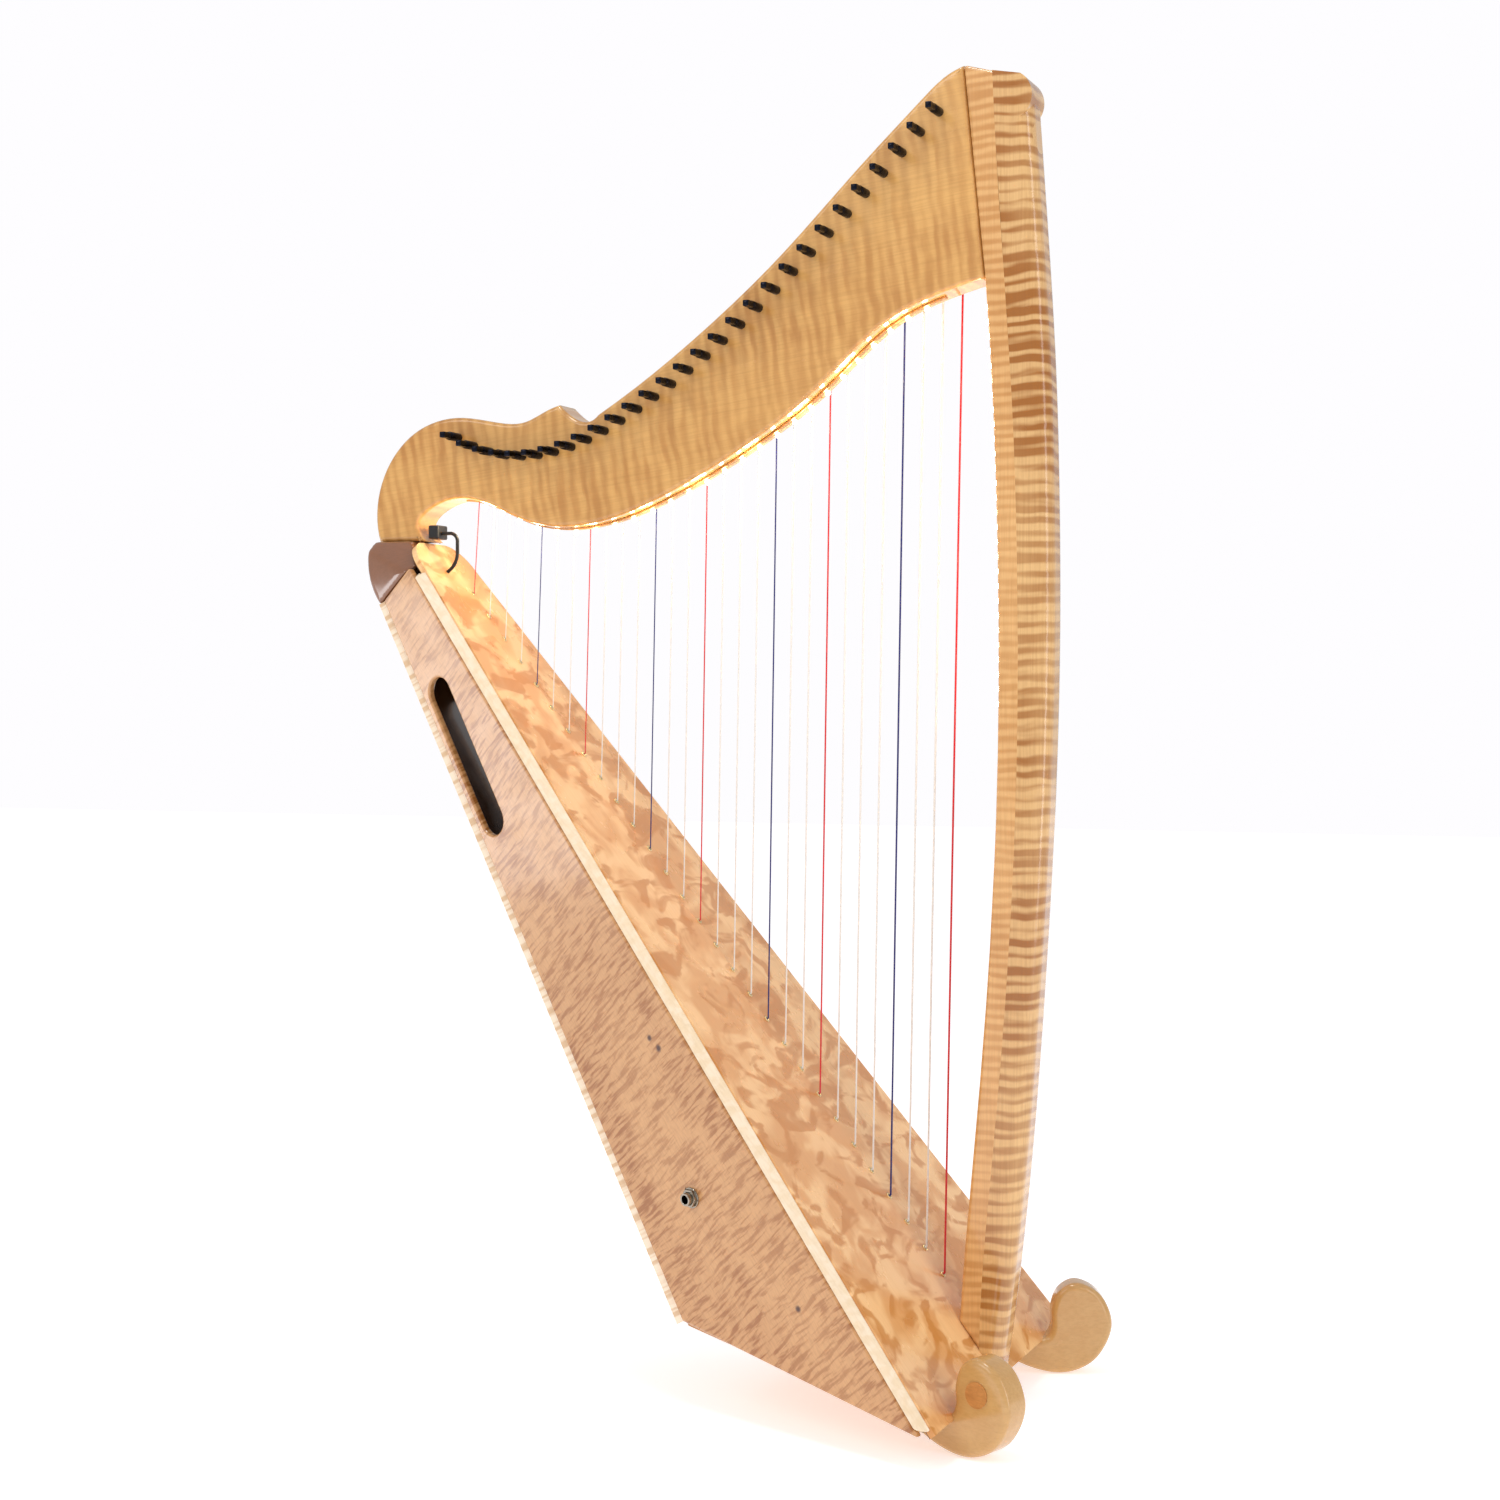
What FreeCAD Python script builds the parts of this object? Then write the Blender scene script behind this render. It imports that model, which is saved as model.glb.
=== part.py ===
import FreeCAD, Part
import math
import os
from FreeCAD import Matrix, Placement, Vector

# A lever harp of 29 strings, tuned C to C, standing with its strings upright as on a stand.
# X runs from the sound box's back to the pillar, Y to the player's left, Z up.
# The origin is the middle of the base board's underside, where a stand carries the harp.

SIZES = {
    # sound box, seen from the side
    "front_bottom_x": 111.0, "front_bottom_z": -18.0,
    "back_bottom_x": -111.0, "back_bottom_z": 18.0,
    "back_top_x": -397.0, "back_top_z": 552.0,
    "board_slope": 52.4, "board_length": 778.0, "board_thick": 5.0,
    "board_half_bottom": 176.0, "board_half_top": 48.0, "board_end_round": 26.0,
    "back_half_bottom": 90.0,
    "side_thick": 6.0, "back_thick": 6.0, "base_thick": 16.0,
    "binding_wide": 9.0, "binding_deep": 11.0,
    # sound slot and output jack in the side panels
    "slot_long": 135.0, "slot_wide": 25.0, "slot_from_back": 19.0, "slot_from_top": 94.0,
    "jack_x": -92.0, "jack_z": 115.0, "jack_barrel": 4.7, "jack_bore": 3.2, "jack_play": 0.1,
    # neck and pillar
    "neck_thick": 32.0, "neck_foot_z": 600.0, "pillar_thick": 34.0, "lamination": 15.0,
    # strings and pins
    "string_count": 29.0, "string_first_x": -333.0, "string_pitch": 14.04,
    "string_board_y": 10.0, "string_neck_y": 26.0, "bass_fan": 11.0,
    "string_thin": 0.35, "string_thick": 0.8,
    "pin_radius": 3.4, "pin_play": 0.05, "pin_front": 27.0, "pin_rear": 19.0,
    "pin_square": 4.6, "pin_square_long": 11.0, "pin_first_x": -332.0, "pin_pitch": 14.2,
    "bridge_radius": 2.0, "bridge_out": 13.0, "bridge_above_edge": 13.0,
    "eyelet_outer": 2.6, "eyelet_inner": 1.3, "rib_wide": 24.0, "rib_thick": 4.0,
    # feet
    "foot_thick": 24.0, "housing_deep": 2.0, "foot_y": 122.0, "foot_splay": 20.0, "medallion_radius": 9.0,
    # lamps
    "lamp_radius": 2.0, "lamp_pitch_neck": 16.5, "lamp_pitch_pillar": 10.5, "ribbon_wide": 6.0,
    "ribbon_thick": 1.2, "ribbon_gap": 0.3, "lead_radius": 1.4,
    "plug_radius": 12.0, "bolt_radius": 4.0, "bolt_head": 7.0, "bolt_play": 0.1,
}

doc = FreeCAD.newDocument("harp")
sheet = doc.addObject("Spreadsheet::Sheet", "Sizes")
for row, (name, value) in enumerate(SIZES.items(), start=1):
    sheet.set(f"A{row}", name)
    sheet.set(f"B{row}", str(value))
    sheet.setAlias(f"B{row}", name)
doc.recompute()


def size(name):
    """A driving dimension, read from the sheet."""
    return float(sheet.get(name))


PARTS = []


def keep(obj, label):
    """Name a finished sub-part and list it for export."""
    obj.Label = label
    PARTS.append(obj)
    return obj


def feature(label, shape):
    """A sub-part whose shape is worked out from the sheet's sizes."""
    obj = doc.addObject("Part::Feature", label)
    obj.Shape = shape
    obj.Placement = Placement()
    return keep(obj, label)


def frame_at(origin, along, across):
    """A placement whose X is along, whose Y leans to across and whose Z is their normal."""
    x = Vector(along).normalize()
    z = x.cross(across).normalize()
    y = z.cross(x)
    return Placement(Matrix(x.x, y.x, z.x, origin.x, x.y, y.y, z.y, origin.y,
                            x.z, y.z, z.z, origin.z, 0, 0, 0, 1))


def plate(label, edges, thick, place, middle=False):
    """A flat piece: a sketch of the edges, padded by a size of the sheet."""
    body = doc.addObject("PartDesign::Body", label + "_body")
    sketch = body.newObject("Sketcher::SketchObject", label + "_sketch")
    flat = [o for o in body.Origin.OriginFeatures if o.Role == "XY_Plane"][0]
    sketch.AttachmentSupport = (flat, "")
    sketch.MapMode = "FlatFace"
    sketch.addGeometry(edges, False)
    pad = body.newObject("PartDesign::Pad", label + "_pad")
    pad.Profile = sketch
    pad.Midplane = middle
    pad.setExpression("Length", "Sizes." + thick)
    body.Placement = place
    return keep(body, label)


def lines(points, closed=True):
    """Straight edges from point to point."""
    ends = points[1:] + points[:1] if closed else points[1:]
    return [Part.LineSegment(a, b) for a, b in zip(points, ends)]


def curve(points):
    """One smooth curve through the points."""
    spline = Part.BSplineCurve()
    spline.interpolate(points)
    return spline


def flat_points(pairs):
    return [Vector(x, z, 0) for x, z in pairs]


# The flat pieces that stand upright along the harp are drawn in X and Z, and padded across Y.
UPRIGHT = frame_at(Vector(0, 0, 0), Vector(1, 0, 0), Vector(0, 0, 1))

# ---------------------------------------------------------------- planes of the sound box

slope = math.radians(size("board_slope"))
board_up = Vector(-math.cos(slope), 0, math.sin(slope))
board_out = Vector(math.sin(slope), 0, math.cos(slope))
front_low = Vector(size("front_bottom_x"), 0, size("front_bottom_z"))
back_low = Vector(size("back_bottom_x"), 0, size("back_bottom_z"))
back_high = Vector(size("back_top_x"), 0, size("back_top_z"))
back_up = (back_high - back_low).normalize()
back_out = Vector(-back_up.z, 0, back_up.x)
base_forward = (front_low - back_low).normalize()
base_up = Vector(-base_forward.z, 0, base_forward.x)
board_end = front_low + board_up * size("board_length")


def side_corner(point, half, side):
    return Vector(point.x, side * half, point.z)


def side_normal(side):
    """The outward normal of a side panel's face, through three of the box's corners."""
    low = side_corner(front_low, size("board_half_bottom"), side)
    high = side_corner(board_end, size("board_half_top"), side)
    rear = side_corner(back_low, size("back_half_bottom"), side)
    normal = (high - low).cross(rear - low).normalize()
    return normal if normal.y * side > 0 else normal * -1


def on_side(point, side):
    """The point of a side panel's outer face that lies level with a point of the middle."""
    low = side_corner(front_low, size("board_half_bottom"), side)
    normal = side_normal(side)
    reach = normal.dot(low - point) / normal.y
    return Vector(point.x, reach, point.z)


def half_space(point, normal, reach=2000.0):
    """A block that fills everything beyond a plane."""
    helper = Vector(0, 1, 0) if abs(normal.y) < 0.9 else Vector(1, 0, 0)
    place = frame_at(point, helper.cross(normal), normal.cross(helper.cross(normal)))
    block = Part.makeBox(reach, reach, reach, Vector(-reach / 2, -reach / 2, 0))
    block.Placement = place
    return block


def trimmed(block, planes):
    """A block cut back to the inner side of each plane, given by a point and a normal."""
    for point, normal in planes:
        block = block.cut(half_space(point, normal))
    return block


def inner_sides(gap=0.0):
    """The inner faces of both side panels."""
    found = []
    for side in (-1, 1):
        normal = side_normal(side)
        found.append((on_side(front_low, side) - normal * (size("side_thick") + gap), normal))
    return found


def inner_box(gap=0.0):
    """The planes that close in the hollow of the sound box."""
    return inner_sides(gap) + [
        (front_low - board_out * (size("board_thick") + gap), board_out),
        (back_low - back_out * (size("back_thick") + gap), back_out),
    ]


# ---------------------------------------------------------------- strings and pins: where they are

COUNT = int(size("string_count"))
NOTES = "CBAGFED"

NECK_TOP = flat_points([(-404, 600), (-407, 628), (-396, 662), (-370, 688), (-335, 697),
                        (-300, 692), (-275, 691), (-256, 699), (-244, 703)])
NECK_SCROLL = flat_points([(-244, 703), (-234, 694), (-222, 689), (-211, 694)])
NECK_RISE = flat_points([(-211, 694), (-170, 720), (-118, 758), (-60, 807), (0, 866),
                         (52, 915), (72, 931), (84, 936)])
NECK_UNDER = flat_points([(100, 780), (66, 771), (30, 756), (-30, 706), (-90, 664),
                          (-150, 632), (-205, 612), (-240, 608), (-275, 614), (-305, 627),
                          (-332, 633), (-355, 627), (-368, 616), (-362, 600)])
PIN_LINE = flat_points([(-345, 690), (-305, 669), (-274, 664), (-232, 670), (-175, 697),
                        (-105, 745), (-21, 819), (75, 912)])


def height_on(spline, x):
    """The height of a curve of X and Z at a given X, nearest the curve's far side."""
    line = Part.LineSegment(Vector(x, 500, 0), Vector(x, 1000, 0))
    hits = spline.intersect(line)
    return min(hit.Y for hit in hits)


UNDER_CURVE = curve(NECK_UNDER)
PIN_CURVE = curve(PIN_LINE)


def string_note(index):
    """The note of a string, counted down from the highest."""
    return NOTES[index % 7]


def string_radius(index):
    share = index / (COUNT - 1)
    return size("string_thin") + (size("string_thick") - size("string_thin")) * share ** 1.5


def string_foot(index):
    """Where a string passes the outer face of the sound board."""
    x = size("string_first_x") + size("string_pitch") * index
    drop = (x - front_low.x) * board_out.x / board_out.z
    return Vector(x, size("string_board_y"), front_low.z - drop)


def bridge_point(index):
    """The middle of the bridge pin that a string bears on."""
    foot = string_foot(index)
    x = foot.x - 2.0 + size("bass_fan") * (index / (COUNT - 1)) ** 3 + 2.0 * index / (COUNT - 1)
    above = size("bridge_above_edge") * (1 + index / (COUNT - 1))
    return Vector(x, size("string_neck_y"), height_on(UNDER_CURVE, x) + above)


def pin_point(index):
    """The middle of a tuning pin's bore through the neck."""
    x = size("pin_first_x") + size("pin_pitch") * index
    return Vector(x, 0, height_on(PIN_CURVE, x))


# ---------------------------------------------------------------- sound box

def make_soundboard():
    """A tapered board with a round top end, drilled for each string and for the lamp lead."""
    length = size("board_length")
    curl = size("board_end_round")
    taper = (size("board_half_bottom") - size("board_half_top")) / length
    half_low = size("board_half_bottom") - (size("binding_wide") + 0.05) * math.hypot(1, taper)
    half_high = half_low - taper * (length - curl)
    corner = [Vector(0, -half_low, 0), Vector(length - curl, -half_high, 0),
              Vector(length, -half_high + curl, 0)]
    mirror = [Vector(p.x, -p.y, 0) for p in corner]
    bend = Vector(length - curl * 0.29, -half_high + curl * 0.29, 0)
    edges = [Part.LineSegment(corner[0], corner[1]),
             Part.Arc(corner[1], bend, corner[2]),
             Part.LineSegment(corner[2], mirror[2]),
             Part.Arc(mirror[2], Vector(bend.x, -bend.y, 0), mirror[1]),
             Part.LineSegment(mirror[1], mirror[0]),
             Part.LineSegment(mirror[0], corner[0])]
    up_axis = Vector(0, 0, 1)
    for index in range(COUNT):
        foot = string_foot(index)
        spot = Vector((foot - front_low).dot(board_up), -foot.y, 0)
        edges.append(Part.Circle(spot, up_axis, size("eyelet_outer") - 0.9))
    lead = LEAD_HOLE
    spot = Vector((lead - front_low).dot(board_up), -lead.y, 0)
    edges.append(Part.Circle(spot, up_axis, size("lead_radius") + 0.4))
    place = frame_at(front_low - board_out * size("board_thick"), board_up, Vector(0, -1, 0))
    return plate("soundboard", edges, "board_thick", place)


def surface_at(x, y=0.0):
    """A point of the sound board's outer face."""
    return Vector(x, y, front_low.z - (x - front_low.x) * board_out.x / board_out.z)


LEAD_HOLE = surface_at(-346.0, -8.0)


def side_frame(side):
    """A side panel's own frame: along the board edge, then down across the panel."""
    low = on_side(front_low, side)
    high = on_side(board_end, side)
    normal = side_normal(side)
    along = (high - low).normalize()
    across = along.cross(normal) * side
    if across.dot(board_out) > 0:
        across = across * -1
    return low, along, across, normal


def make_side(side, label):
    """A side panel with its sound slot; the right one is also drilled for the jack."""
    low, along, across, normal = side_frame(side)
    flip = 1 if along.cross(across).dot(normal) > 0 else -1
    place = frame_at(low - normal * size("side_thick") * (1 if flip > 0 else 0), along, across)

    def spot(point):
        gap = on_side(point, side) - low
        return Vector(gap.dot(along), gap.dot(across), 0)

    deep = size("binding_deep")
    back_inside = back_out * -size("back_thick")
    rear_low = spot(back_low + back_inside)
    rear_high = spot(back_high + back_inside + back_up * -3.0)
    front_cut = spot(front_low)
    top_cut = spot(surface_at(-352.0))
    along_rear = (rear_high - rear_low).normalize()
    outline = [Vector(front_cut.x + deep * 0.55, deep, 0), Vector(top_cut.x, deep, 0),
               rear_high, rear_low]
    edges = lines(outline)
    inward = Vector(along_rear.y, -along_rear.x, 0)
    if inward.dot(front_cut - rear_low) < 0:
        inward = inward * -1
    wide = size("slot_wide") / 2
    high = rear_high - along_rear * size("slot_from_top") + inward * size("slot_from_back")
    low_end = high - along_rear * (size("slot_long") - 2 * wide)
    edges += [
        Part.LineSegment(high + inward * wide, low_end + inward * wide),
        Part.Arc(low_end + inward * wide, low_end - along_rear * wide, low_end - inward * wide),
        Part.LineSegment(low_end - inward * wide, high - inward * wide),
        Part.Arc(high - inward * wide, high + along_rear * wide, high + inward * wide),
    ]
    if side < 0:
        jack = spot(Vector(size("jack_x"), 0, size("jack_z")))
        edges.append(Part.Circle(jack, Vector(0, 0, 1), size("jack_barrel") + size("jack_play")))
    return plate(label, edges, "side_thick", place)


def make_binding(side, label):
    """A bevelled strip that closes the corner between the board's edge and a side panel."""
    low, along, across, normal = side_frame(side)
    inward = along.cross(board_out)
    if inward.y * side > 0:
        inward = inward * -1
    edge_in = low + inward * size("binding_wide")
    side_low = low + across * size("binding_deep")
    section = [edge_in, edge_in - board_out * size("board_thick"),
               side_low - normal * size("side_thick"), side_low]
    strip = Part.Face(Part.makePolygon(section + section[:1]))
    start = along * -30.0
    strip.translate(start)
    length = (on_side(surface_at(-347.0), side) - low).dot(along) + 30.0
    block = strip.extrude(along * length)
    block = trimmed(block, [(front_low, base_up * -1)])
    return feature(label, block)


def make_back():
    """The back panel, behind the side panels' rear edges."""
    low = abs(on_side(back_low, 1).y)
    rise = (back_high - back_low).Length - 3.0
    high = abs(on_side(back_low + back_up * rise, 1).y)
    outline = [Vector(0, -low, 0), Vector(rise, -high, 0), Vector(rise, high, 0), Vector(0, low, 0)]
    place = frame_at(back_low, back_up, back_out.cross(back_up) * -1)
    if place.Rotation.multVec(Vector(0, 0, 1)).dot(back_out) > 0:
        place = frame_at(back_low, back_up, back_out.cross(back_up))
    return plate("back_panel", lines(outline), "back_thick", place)


def upright_slab(points, half=400.0):
    """A wide slab whose side view is the given outline."""
    face = Part.Face(Part.makePolygon([Vector(p.x, -half, p.z) for p in points + points[:1]]))
    return face.extrude(Vector(0, 2 * half, 0))


def make_base():
    """The thick board that closes the bottom and carries the pillar and the feet."""
    thick = base_up * size("base_thick")
    ahead = base_forward * 60.0
    slab = upright_slab([back_low - ahead, front_low + ahead, front_low + ahead + thick,
                         back_low - ahead + thick])
    slab = trimmed(slab, inner_box(0.05))
    for side, binding in ((-1, "binding_right"), (1, "binding_left")):
        slab = slab.cut(foot_housing(side))
        slab = slab.cut(doc.getObject(binding).Shape)
    return feature("base_board", slab)


def foot_housing(side):
    """The shallow step in the base board's underside that takes the top of a foot."""
    first = back_low + base_forward * 128.0 - base_up * 30.0
    last = first + base_forward * 120.0
    rise = base_up * (30.0 + size("housing_deep"))
    points = [first, last, last + rise, first + rise]
    near, far = 62.0 * side, 134.0 * side
    face = Part.Face(Part.makePolygon([Vector(p.x, near, p.z) for p in points + points[:1]]))
    return face.extrude(Vector(0, far - near, 0))


def make_rib():
    """The hardwood strip under the board that carries the strings' pull."""
    top = front_low - board_out * size("board_thick")
    deep = board_out * -size("rib_thick")
    first = top + board_up * 46.0
    last = top + board_up * (size("board_length") - 42.0)
    points = [first, last, last + deep, first + deep]
    face = Part.makePolygon([Vector(p.x, 0, p.z) for p in points + points[:1]])
    slab = Part.Face(face).extrude(Vector(0, size("rib_wide"), 0))
    slab.translate(Vector(0, size("string_board_y") - size("rib_wide") / 2, 0))
    for index in range(COUNT):
        foot = string_foot(index)
        hole = Part.makeCylinder(size("eyelet_inner"), 24.0, foot - board_out * 18.0, board_out)
        slab = slab.cut(hole)
    return feature("string_rib", slab)


def make_braces():
    """Two bars across the inside of the back panel."""
    bars = []
    for share in (0.3, 0.62):
        spot = back_low + (back_high - back_low) * share - back_out * (size("back_thick") + 0.05)
        points = [spot, spot + back_up * 14.0, spot + back_up * 14.0 - back_out * 12.0,
                  spot - back_out * 12.0]
        bars.append(trimmed(upright_slab(points), inner_sides(0.3)))
    return feature("back_braces", Part.makeCompound(bars))


def make_top_block():
    """The rounded block between the sound box and the neck's shoulder."""
    joint = back_high + back_up * -3.0
    foot_z = size("neck_foot_z")
    under = size("board_thick") + 0.05
    seat = surface_at(-351.5) - board_out * under
    rise = (foot_z - seat.z) / board_up.z
    crown = seat + board_up * rise
    rim = [Part.LineSegment(seat, crown),
           Part.LineSegment(crown, Vector(-404.0, 0, foot_z)),
           Part.Arc(Vector(-404.0, 0, foot_z), Vector(-407.5, 0, 577.0), Vector(joint.x, 0, joint.z)),
           Part.LineSegment(Vector(joint.x, 0, joint.z), Vector(seat.x, 0, seat.z))]
    face = Part.Face(Part.Wire([edge.toShape() for edge in rim]))
    slab = face.extrude(Vector(0, 400, 0))
    slab.translate(Vector(0, -200, 0))
    block = trimmed(slab, [(on_side(front_low, s), side_normal(s)) for s in (-1, 1)])
    for side in (-1, 1):
        point = Vector(-380.0, side * 21.0, foot_z)
        lean = Vector(0.05, side * 0.72, 0.69).normalize()
        block = trimmed(block, [(point, lean)])
    return feature("top_block", block)


# ---------------------------------------------------------------- neck and pillar

PILLAR_BACK = flat_points([(100, 780), (106, 687), (110, 545), (110, 460), (108, 380), (101, 256),
                           (92, 150), (85, 75), (81, 25)])
PILLAR_FRONT = flat_points([(112, -16), (121, 60), (130, 145), (139, 260), (147, 400), (150, 500),
                            (150, 610), (147, 720), (142, 805), (135, 905)])


def neck_edges():
    """The neck's side view: shoulder, scroll notch, long rise, end against the pillar, underside."""
    return [curve(NECK_TOP), curve(NECK_SCROLL), curve(NECK_RISE),
            Part.LineSegment(NECK_RISE[-1], NECK_UNDER[0]), UNDER_CURVE,
            Part.LineSegment(NECK_UNDER[-1], NECK_TOP[0])]


def make_neck():
    """A single thick board, bored across for the tuning pins."""
    blank = plate("neck_blank", neck_edges(), "neck_thick", UPRIGHT, middle=True)
    PARTS.remove(blank)
    bores = []
    for index in range(COUNT):
        bore = doc.addObject("Part::Cylinder", f"pin_bore_{index + 1:02d}")
        bore.setExpression("Radius", "Sizes.pin_radius + Sizes.pin_play")
        bore.Height = 200.0
        bore.Placement = frame_at(pin_point(index) + Vector(0, 100, 0), Vector(1, 0, 0),
                                  Vector(0, 0, 1))
        bores.append(bore)
    tool = doc.addObject("Part::MultiFuse", "pin_bores")
    tool.Shapes = bores + [bolt_bore("neck_bolt_bore")]
    cut = doc.addObject("Part::Cut", "neck_cut")
    cut.Base = blank
    cut.Tool = tool
    return keep(cut, "neck")


PILLAR_JOINT = 0.3
PILLAR_START = PILLAR_BACK[0] + Vector(PILLAR_JOINT, 0, 0)
PILLAR_FOOT = Vector(PILLAR_BACK[-1].x, surface_at(PILLAR_BACK[-1].x).z + 0.05, 0)
PILLAR_CURVE = curve([PILLAR_START] + PILLAR_BACK[1:-1] + [PILLAR_FOOT])
BOLT_POINT = Vector(130.0, 0.0, 882.0)


def bolt_bore(name):
    """The bore of the bolt that pulls the pillar against the neck's end."""
    bore = doc.addObject("Part::Cylinder", name)
    bore.setExpression("Radius", "Sizes.bolt_radius + Sizes.bolt_play")
    bore.Height = 80.0
    bore.Placement = frame_at(BOLT_POINT - Vector(58.0, 0, 0), Vector(0, 1, 0), Vector(0, 0, 1))
    return bore


def shifted(points, gap):
    return [Vector(p.x + gap, p.y, 0) for p in points]


def make_pillar():
    """The bowed pillar of two laminations: a thin one behind, a deep one with a round front."""
    thin = size("lamination")
    joint = shifted(PILLAR_BACK, thin)
    low = Vector(joint[-1].x, surface_at(joint[-1].x).z + 0.05, 0)
    neck_end = NECK_RISE[-1] + Vector(PILLAR_JOINT, 0, 0)
    crest = Vector(106, 930, 0)
    joint_line = curve([crest] + joint[:-1] + [low])
    inner = [Part.LineSegment(neck_end, PILLAR_START), PILLAR_CURVE,
             Part.LineSegment(PILLAR_FOOT, low), joint_line,
             Part.LineSegment(crest, neck_end)]
    strip = plate("pillar_strip", inner, "pillar_thick", UPRIGHT, middle=True)
    PARTS.remove(strip)
    drilled = doc.addObject("Part::Cut", "lamination_cut")
    drilled.Base = strip
    drilled.Tool = bolt_bore("lamination_bore")
    keep(drilled, "pillar_lamination")
    toe = Vector(front_low.x - 0.5, surface_at(front_low.x - 0.5).z + 0.05, 0)
    front = [toe] + PILLAR_FRONT[1:]
    crown = Vector(127, 926, 0)
    outer = [joint_line, Part.LineSegment(low, toe), curve(front),
             Part.Arc(front[-1], Vector(133, 920, 0), crown), Part.LineSegment(crown, crest)]
    blank = plate("pillar_blank", outer, "pillar_thick", UPRIGHT, middle=True)
    PARTS.remove(blank)
    doc.recompute()
    rounded = doc.addObject("Part::Fillet", "pillar_fillet")
    rounded.Base = blank
    chosen = []
    for number, edge in enumerate(blank.Shape.Edges, start=1):
        box = edge.BoundBox
        if box.ZLength > 600 and box.XMax > 140 and box.YLength < 0.1:
            chosen.append((number, 11.0, 11.0))
    rounded.Edges = chosen
    bore = doc.addObject("Part::Cylinder", "plug_bore")
    bore.setExpression("Radius", "Sizes.plug_radius + 0.05")
    bore.Height = 60.0
    bore.Placement = frame_at(BOLT_POINT, Vector(0, 1, 0), Vector(0, 0, 1))
    seat = doc.addObject("Part::Cylinder", "bolt_head_bore")
    seat.setExpression("Radius", "Sizes.bolt_head + Sizes.bolt_play")
    seat.Height = 5.0
    seat.Placement = frame_at(BOLT_POINT - Vector(5.0, 0, 0), Vector(0, 1, 0), Vector(0, 0, 1))
    tool = doc.addObject("Part::MultiFuse", "pillar_bores")
    tool.Shapes = [bore, seat, bolt_bore("pillar_bolt_bore")]
    cut = doc.addObject("Part::Cut", "pillar_cut")
    cut.Base = rounded
    cut.Tool = tool
    keep(cut, "pillar")
    make_plug(rounded)


def make_plug(whole):
    """A round wood plug over the bolt's head, dressed flush with the pillar's round front."""
    plug = doc.addObject("Part::Cylinder", "plug_round")
    plug.setExpression("Radius", "Sizes.plug_radius")
    plug.Height = 60.0
    plug.Placement = frame_at(BOLT_POINT, Vector(0, 1, 0), Vector(0, 0, 1))
    flush = doc.addObject("Part::Common", "plug_flush")
    flush.Base = plug
    flush.Tool = whole
    return keep(flush, "pillar_plug")


def make_bolt():
    """The bolt from the pillar's front into the neck's end grain."""
    head = doc.addObject("Part::Cylinder", "bolt_head_round")
    head.setExpression("Radius", "Sizes.bolt_head")
    head.Height = 4.9
    head.Placement = frame_at(BOLT_POINT - Vector(4.95, 0, 0), Vector(0, 1, 0), Vector(0, 0, 1))
    shank = doc.addObject("Part::Cylinder", "bolt_shank")
    shank.setExpression("Radius", "Sizes.bolt_radius")
    shank.Height = 53.0
    shank.Placement = frame_at(BOLT_POINT - Vector(57.5, 0, 0), Vector(0, 1, 0), Vector(0, 0, 1))
    bolt = doc.addObject("Part::Fuse", "bolt")
    bolt.Base = head
    bolt.Tool = shank
    return keep(bolt, "pillar_bolt")


# ---------------------------------------------------------------- feet

FOOT_OUTER = flat_points([(28, -2), (62, -22), (96, -39), (124, -43), (147, -32), (159, -7),
                          (151, 16), (133, 26), (119, 20), (113, 6), (113, -8), (108, -17)])


def foot_place(side):
    """A foot's frame: upright, splayed like the side panel over it."""
    splay = math.radians(size("foot_splay"))
    forward = Vector(math.cos(splay), side * math.sin(splay), 0)
    pivot = Vector(136.0, side * size("foot_y"), 0)
    origin = pivot - forward * 136.0
    return frame_at(origin, forward, Vector(0, 0, 1))


def make_foot(side, label):
    """A comma shaped foot under the base board, with a round lobe ahead of it."""
    last = FOOT_OUTER[-1]
    edges = [curve(FOOT_OUTER), Part.LineSegment(last, FOOT_OUTER[0])]
    blank = plate(label + "_blank", edges, "foot_thick", foot_place(side), middle=True)
    PARTS.remove(blank)
    cut = doc.addObject("Part::Cut", label + "_cut")
    cut.Base = blank
    cut.Tool = foot_tool()
    return keep(cut, label)


def foot_tool():
    """The room that the sound box takes over a foot: above the base board and behind the board."""
    tool = doc.getObject("box_room")
    if tool is None:
        heel = front_low - board_out * (size("board_thick") + 0.05)
        meet = heel + board_up * (base_up.dot(front_low - heel) / board_up.dot(base_up))
        points = [back_low, meet, heel, front_low, surface_at(20.0), back_low + Vector(0, 0, 120)]
        tool = doc.addObject("Part::Feature", "box_room")
        slab = upright_slab(points)
        for side in (-1, 1):
            slab = slab.cut(trimmed(foot_housing(side), inner_box(0.1)))
        tool.Shape = slab
    return tool


def make_medallions():
    """A plain round inlay on the outer face of each foot."""
    discs = []
    for side in (-1, 1):
        place = foot_place(side)
        out = 1 if place.Rotation.multVec(Vector(0, 0, 1)).y * side > 0 else -1
        centre = place.multVec(Vector(133, 2, out * (size("foot_thick") / 2 + 0.05)))
        normal = place.Rotation.multVec(Vector(0, 0, out))
        discs.append(Part.makeCylinder(size("medallion_radius"), 0.8, centre, normal))
    return feature("foot_medallions", Part.makeCompound(discs))


# ---------------------------------------------------------------- pins, strings and their fittings

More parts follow.
